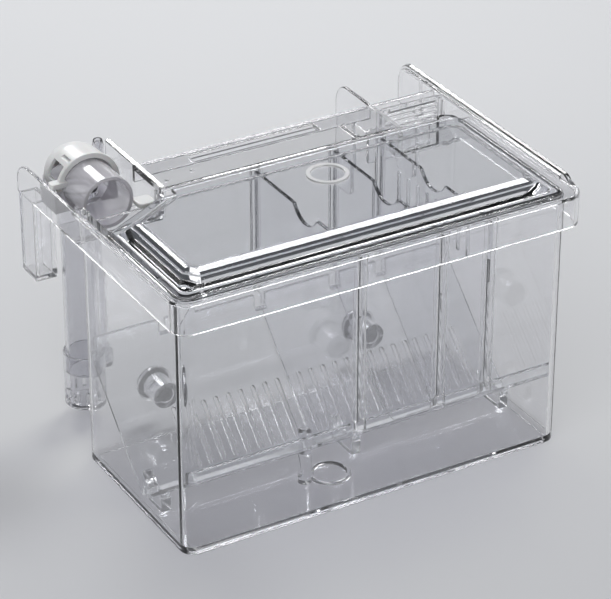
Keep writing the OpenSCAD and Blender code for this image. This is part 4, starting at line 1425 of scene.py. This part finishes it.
@dataclass
class Lamp:
    """A softbox that looks at the object from a direction."""

    name: str
    direction: tuple[float, float, float]
    distance: float
    width: float
    height: float
    radiance: float

    def build(self, target: Vector) -> None:
        """Hangs the lamp.

        Args:
            target: The point that it looks at.
        """
        data = bpy.data.lights.new(self.name, "AREA")
        data.shape = "RECTANGLE"
        data.size = self.width
        data.size_y = self.height
        data.energy = self.radiance * math.pi * self.width * self.height
        lamp = bpy.data.objects.new(self.name, data)
        bpy.context.scene.collection.objects.link(lamp)
        towards = Vector(self.direction).normalized()
        lamp.location = target + towards * self.distance
        lamp.rotation_euler = towards.to_track_quat("Z", "Y").to_euler()


@dataclass
class Studio:
    """Pale floor, soft lamps, even surroundings and the camera."""

    paper: StudioPaper
    azimuth: float = -30.0
    elevation: float = 29.5
    distance: float = 1.072
    lens: float = 172.0
    target: Vector = field(default_factory=lambda: Vector((0.003, 0.0, 0.051)))
    floor_reach: float = 4.0
    floor_drop: float = 0.1
    horizon: str = "#E4E5E7"
    ceiling: str = "#4C4E52"
    lamps: tuple[Lamp, ...] = (
        Lamp("edge_lamp_right", (0.43, 0.30, 0.85), 1.1, 0.36, 0.36, 14.0),
        Lamp("edge_lamp_back", (0.05, 0.76, 0.65), 1.1, 0.34, 0.30, 12.0),
        Lamp("key_lamp", (-0.55, -0.55, 0.63), 1.6, 1.6, 1.6, 1.2),
    )

    def build_floor(self) -> None:
        """Lays the paper under the object."""
        mesh = bpy.data.meshes.new("floor_paper")
        reach, drop = self.floor_reach, -self.floor_drop * MILLIMETRE
        bm = bmesh.new()
        bm.faces.new([bm.verts.new((x * reach, y * reach, drop)) for x, y in ((-1, -1), (1, -1), (1, 1), (-1, 1))])
        bm.to_mesh(mesh)
        bm.free()
        mesh.materials.append(self.paper.build())
        floor = bpy.data.objects.new("floor_paper", mesh)
        bpy.context.scene.collection.objects.link(floor)

    def build_surroundings(self) -> None:
        """Gives the world a pale horizon that fades to a grey ceiling."""
        world = bpy.data.worlds.new("studio_surroundings")
        bpy.context.scene.world = world
        world.use_nodes = True
        tree = world.node_tree
        tree.nodes.clear()
        place = add_node(tree, "ShaderNodeTexCoord").outputs["Generated"]
        height = add_node(tree, "ShaderNodeSeparateXYZ", {"Vector": place}).outputs["Z"]
        fade = add_node(tree, "ShaderNodeMapRange", {
            "Value": height, "From Min": 0.06, "From Max": 0.42, "To Min": 0.0, "To Max": 1.0},
            interpolation_type="SMOOTHSTEP")
        colour = add_node(tree, "ShaderNodeMix", {
            "Factor": fade.outputs["Result"], "A": linear(self.horizon), "B": linear(self.ceiling)},
            data_type="RGBA")
        light = add_node(tree, "ShaderNodeBackground", {"Color": colour.outputs["Result"], "Strength": 1.0})
        add_node(tree, "ShaderNodeOutputWorld", {"Surface": light.outputs["Background"]})

    def build_camera(self) -> None:
        """Sets the camera at the photograph's viewing angle."""
        data = bpy.data.cameras.new("camera")
        data.lens = self.lens
        camera = bpy.data.objects.new("camera", data)
        bpy.context.scene.collection.objects.link(camera)
        turn, rise = math.radians(self.azimuth), math.radians(self.elevation)
        away = Vector((math.sin(turn) * math.cos(rise), -math.cos(turn) * math.cos(rise), math.sin(rise)))
        camera.location = self.target + away * self.distance
        camera.rotation_euler = away.to_track_quat("Z", "Y").to_euler()
        bpy.context.scene.camera = camera

    def build(self) -> None:
        """Builds the studio."""
        scene = bpy.context.scene
        scene.view_settings.view_transform = "Standard"
        scene.cycles.max_bounces = 32
        scene.cycles.transmission_bounces = 32
        scene.cycles.glossy_bounces = 16
        scene.cycles.transparent_max_bounces = 64
        scene.cycles.caustics_reflective = False
        scene.cycles.caustics_refractive = False
        self.build_floor()
        self.build_surroundings()
        for lamp in self.lamps:
            lamp.build(self.target)
        self.build_camera()


def main() -> None:
    """Builds the studio and every piece, and reports each of them."""
    logging.basicConfig(level=logging.INFO, format="%(name)s: %(message)s")
    clear = CrystalPolystyrene("clear_polystyrene")
    trap_clear = CrystalPolystyrene("trap_polystyrene", tint="#F8F9FA", roughness=0.015, haze=0.035)
    smoke = CrystalPolystyrene("smoke_polystyrene", tint="#E9E9EC", shadow="#F3F3F5", roughness=0.03, haze=0.06)
    frosted = FrostedPolystyrene("frosted_polystyrene")
    white = WhiteAbs("white_abs")
    Studio(StudioPaper("floor_paper")).build()
    TankMoulding(clear).build()
    ring_frost = FrostedPolystyrene("ring_polystyrene", colour="#FBFBFB", cloud="#F3F3F4", transmission=0.3)
    Lid(CrystalPolystyrene("lid_polystyrene", tint="#F7F8FA"), ring_frost).build()
    BreedingTrap(trap_clear).build()
    DividerPlates(CrystalPolystyrene("divider_polystyrene", tint="#F8F8FA")).build()
    WaterFittings(clear, white).build()
    AirLift(smoke, frosted, white).build()
    LevellingSpacers(clear, NitrileRubber("nitrile_rubber")).build()


if __name__ == "__main__":
    main()
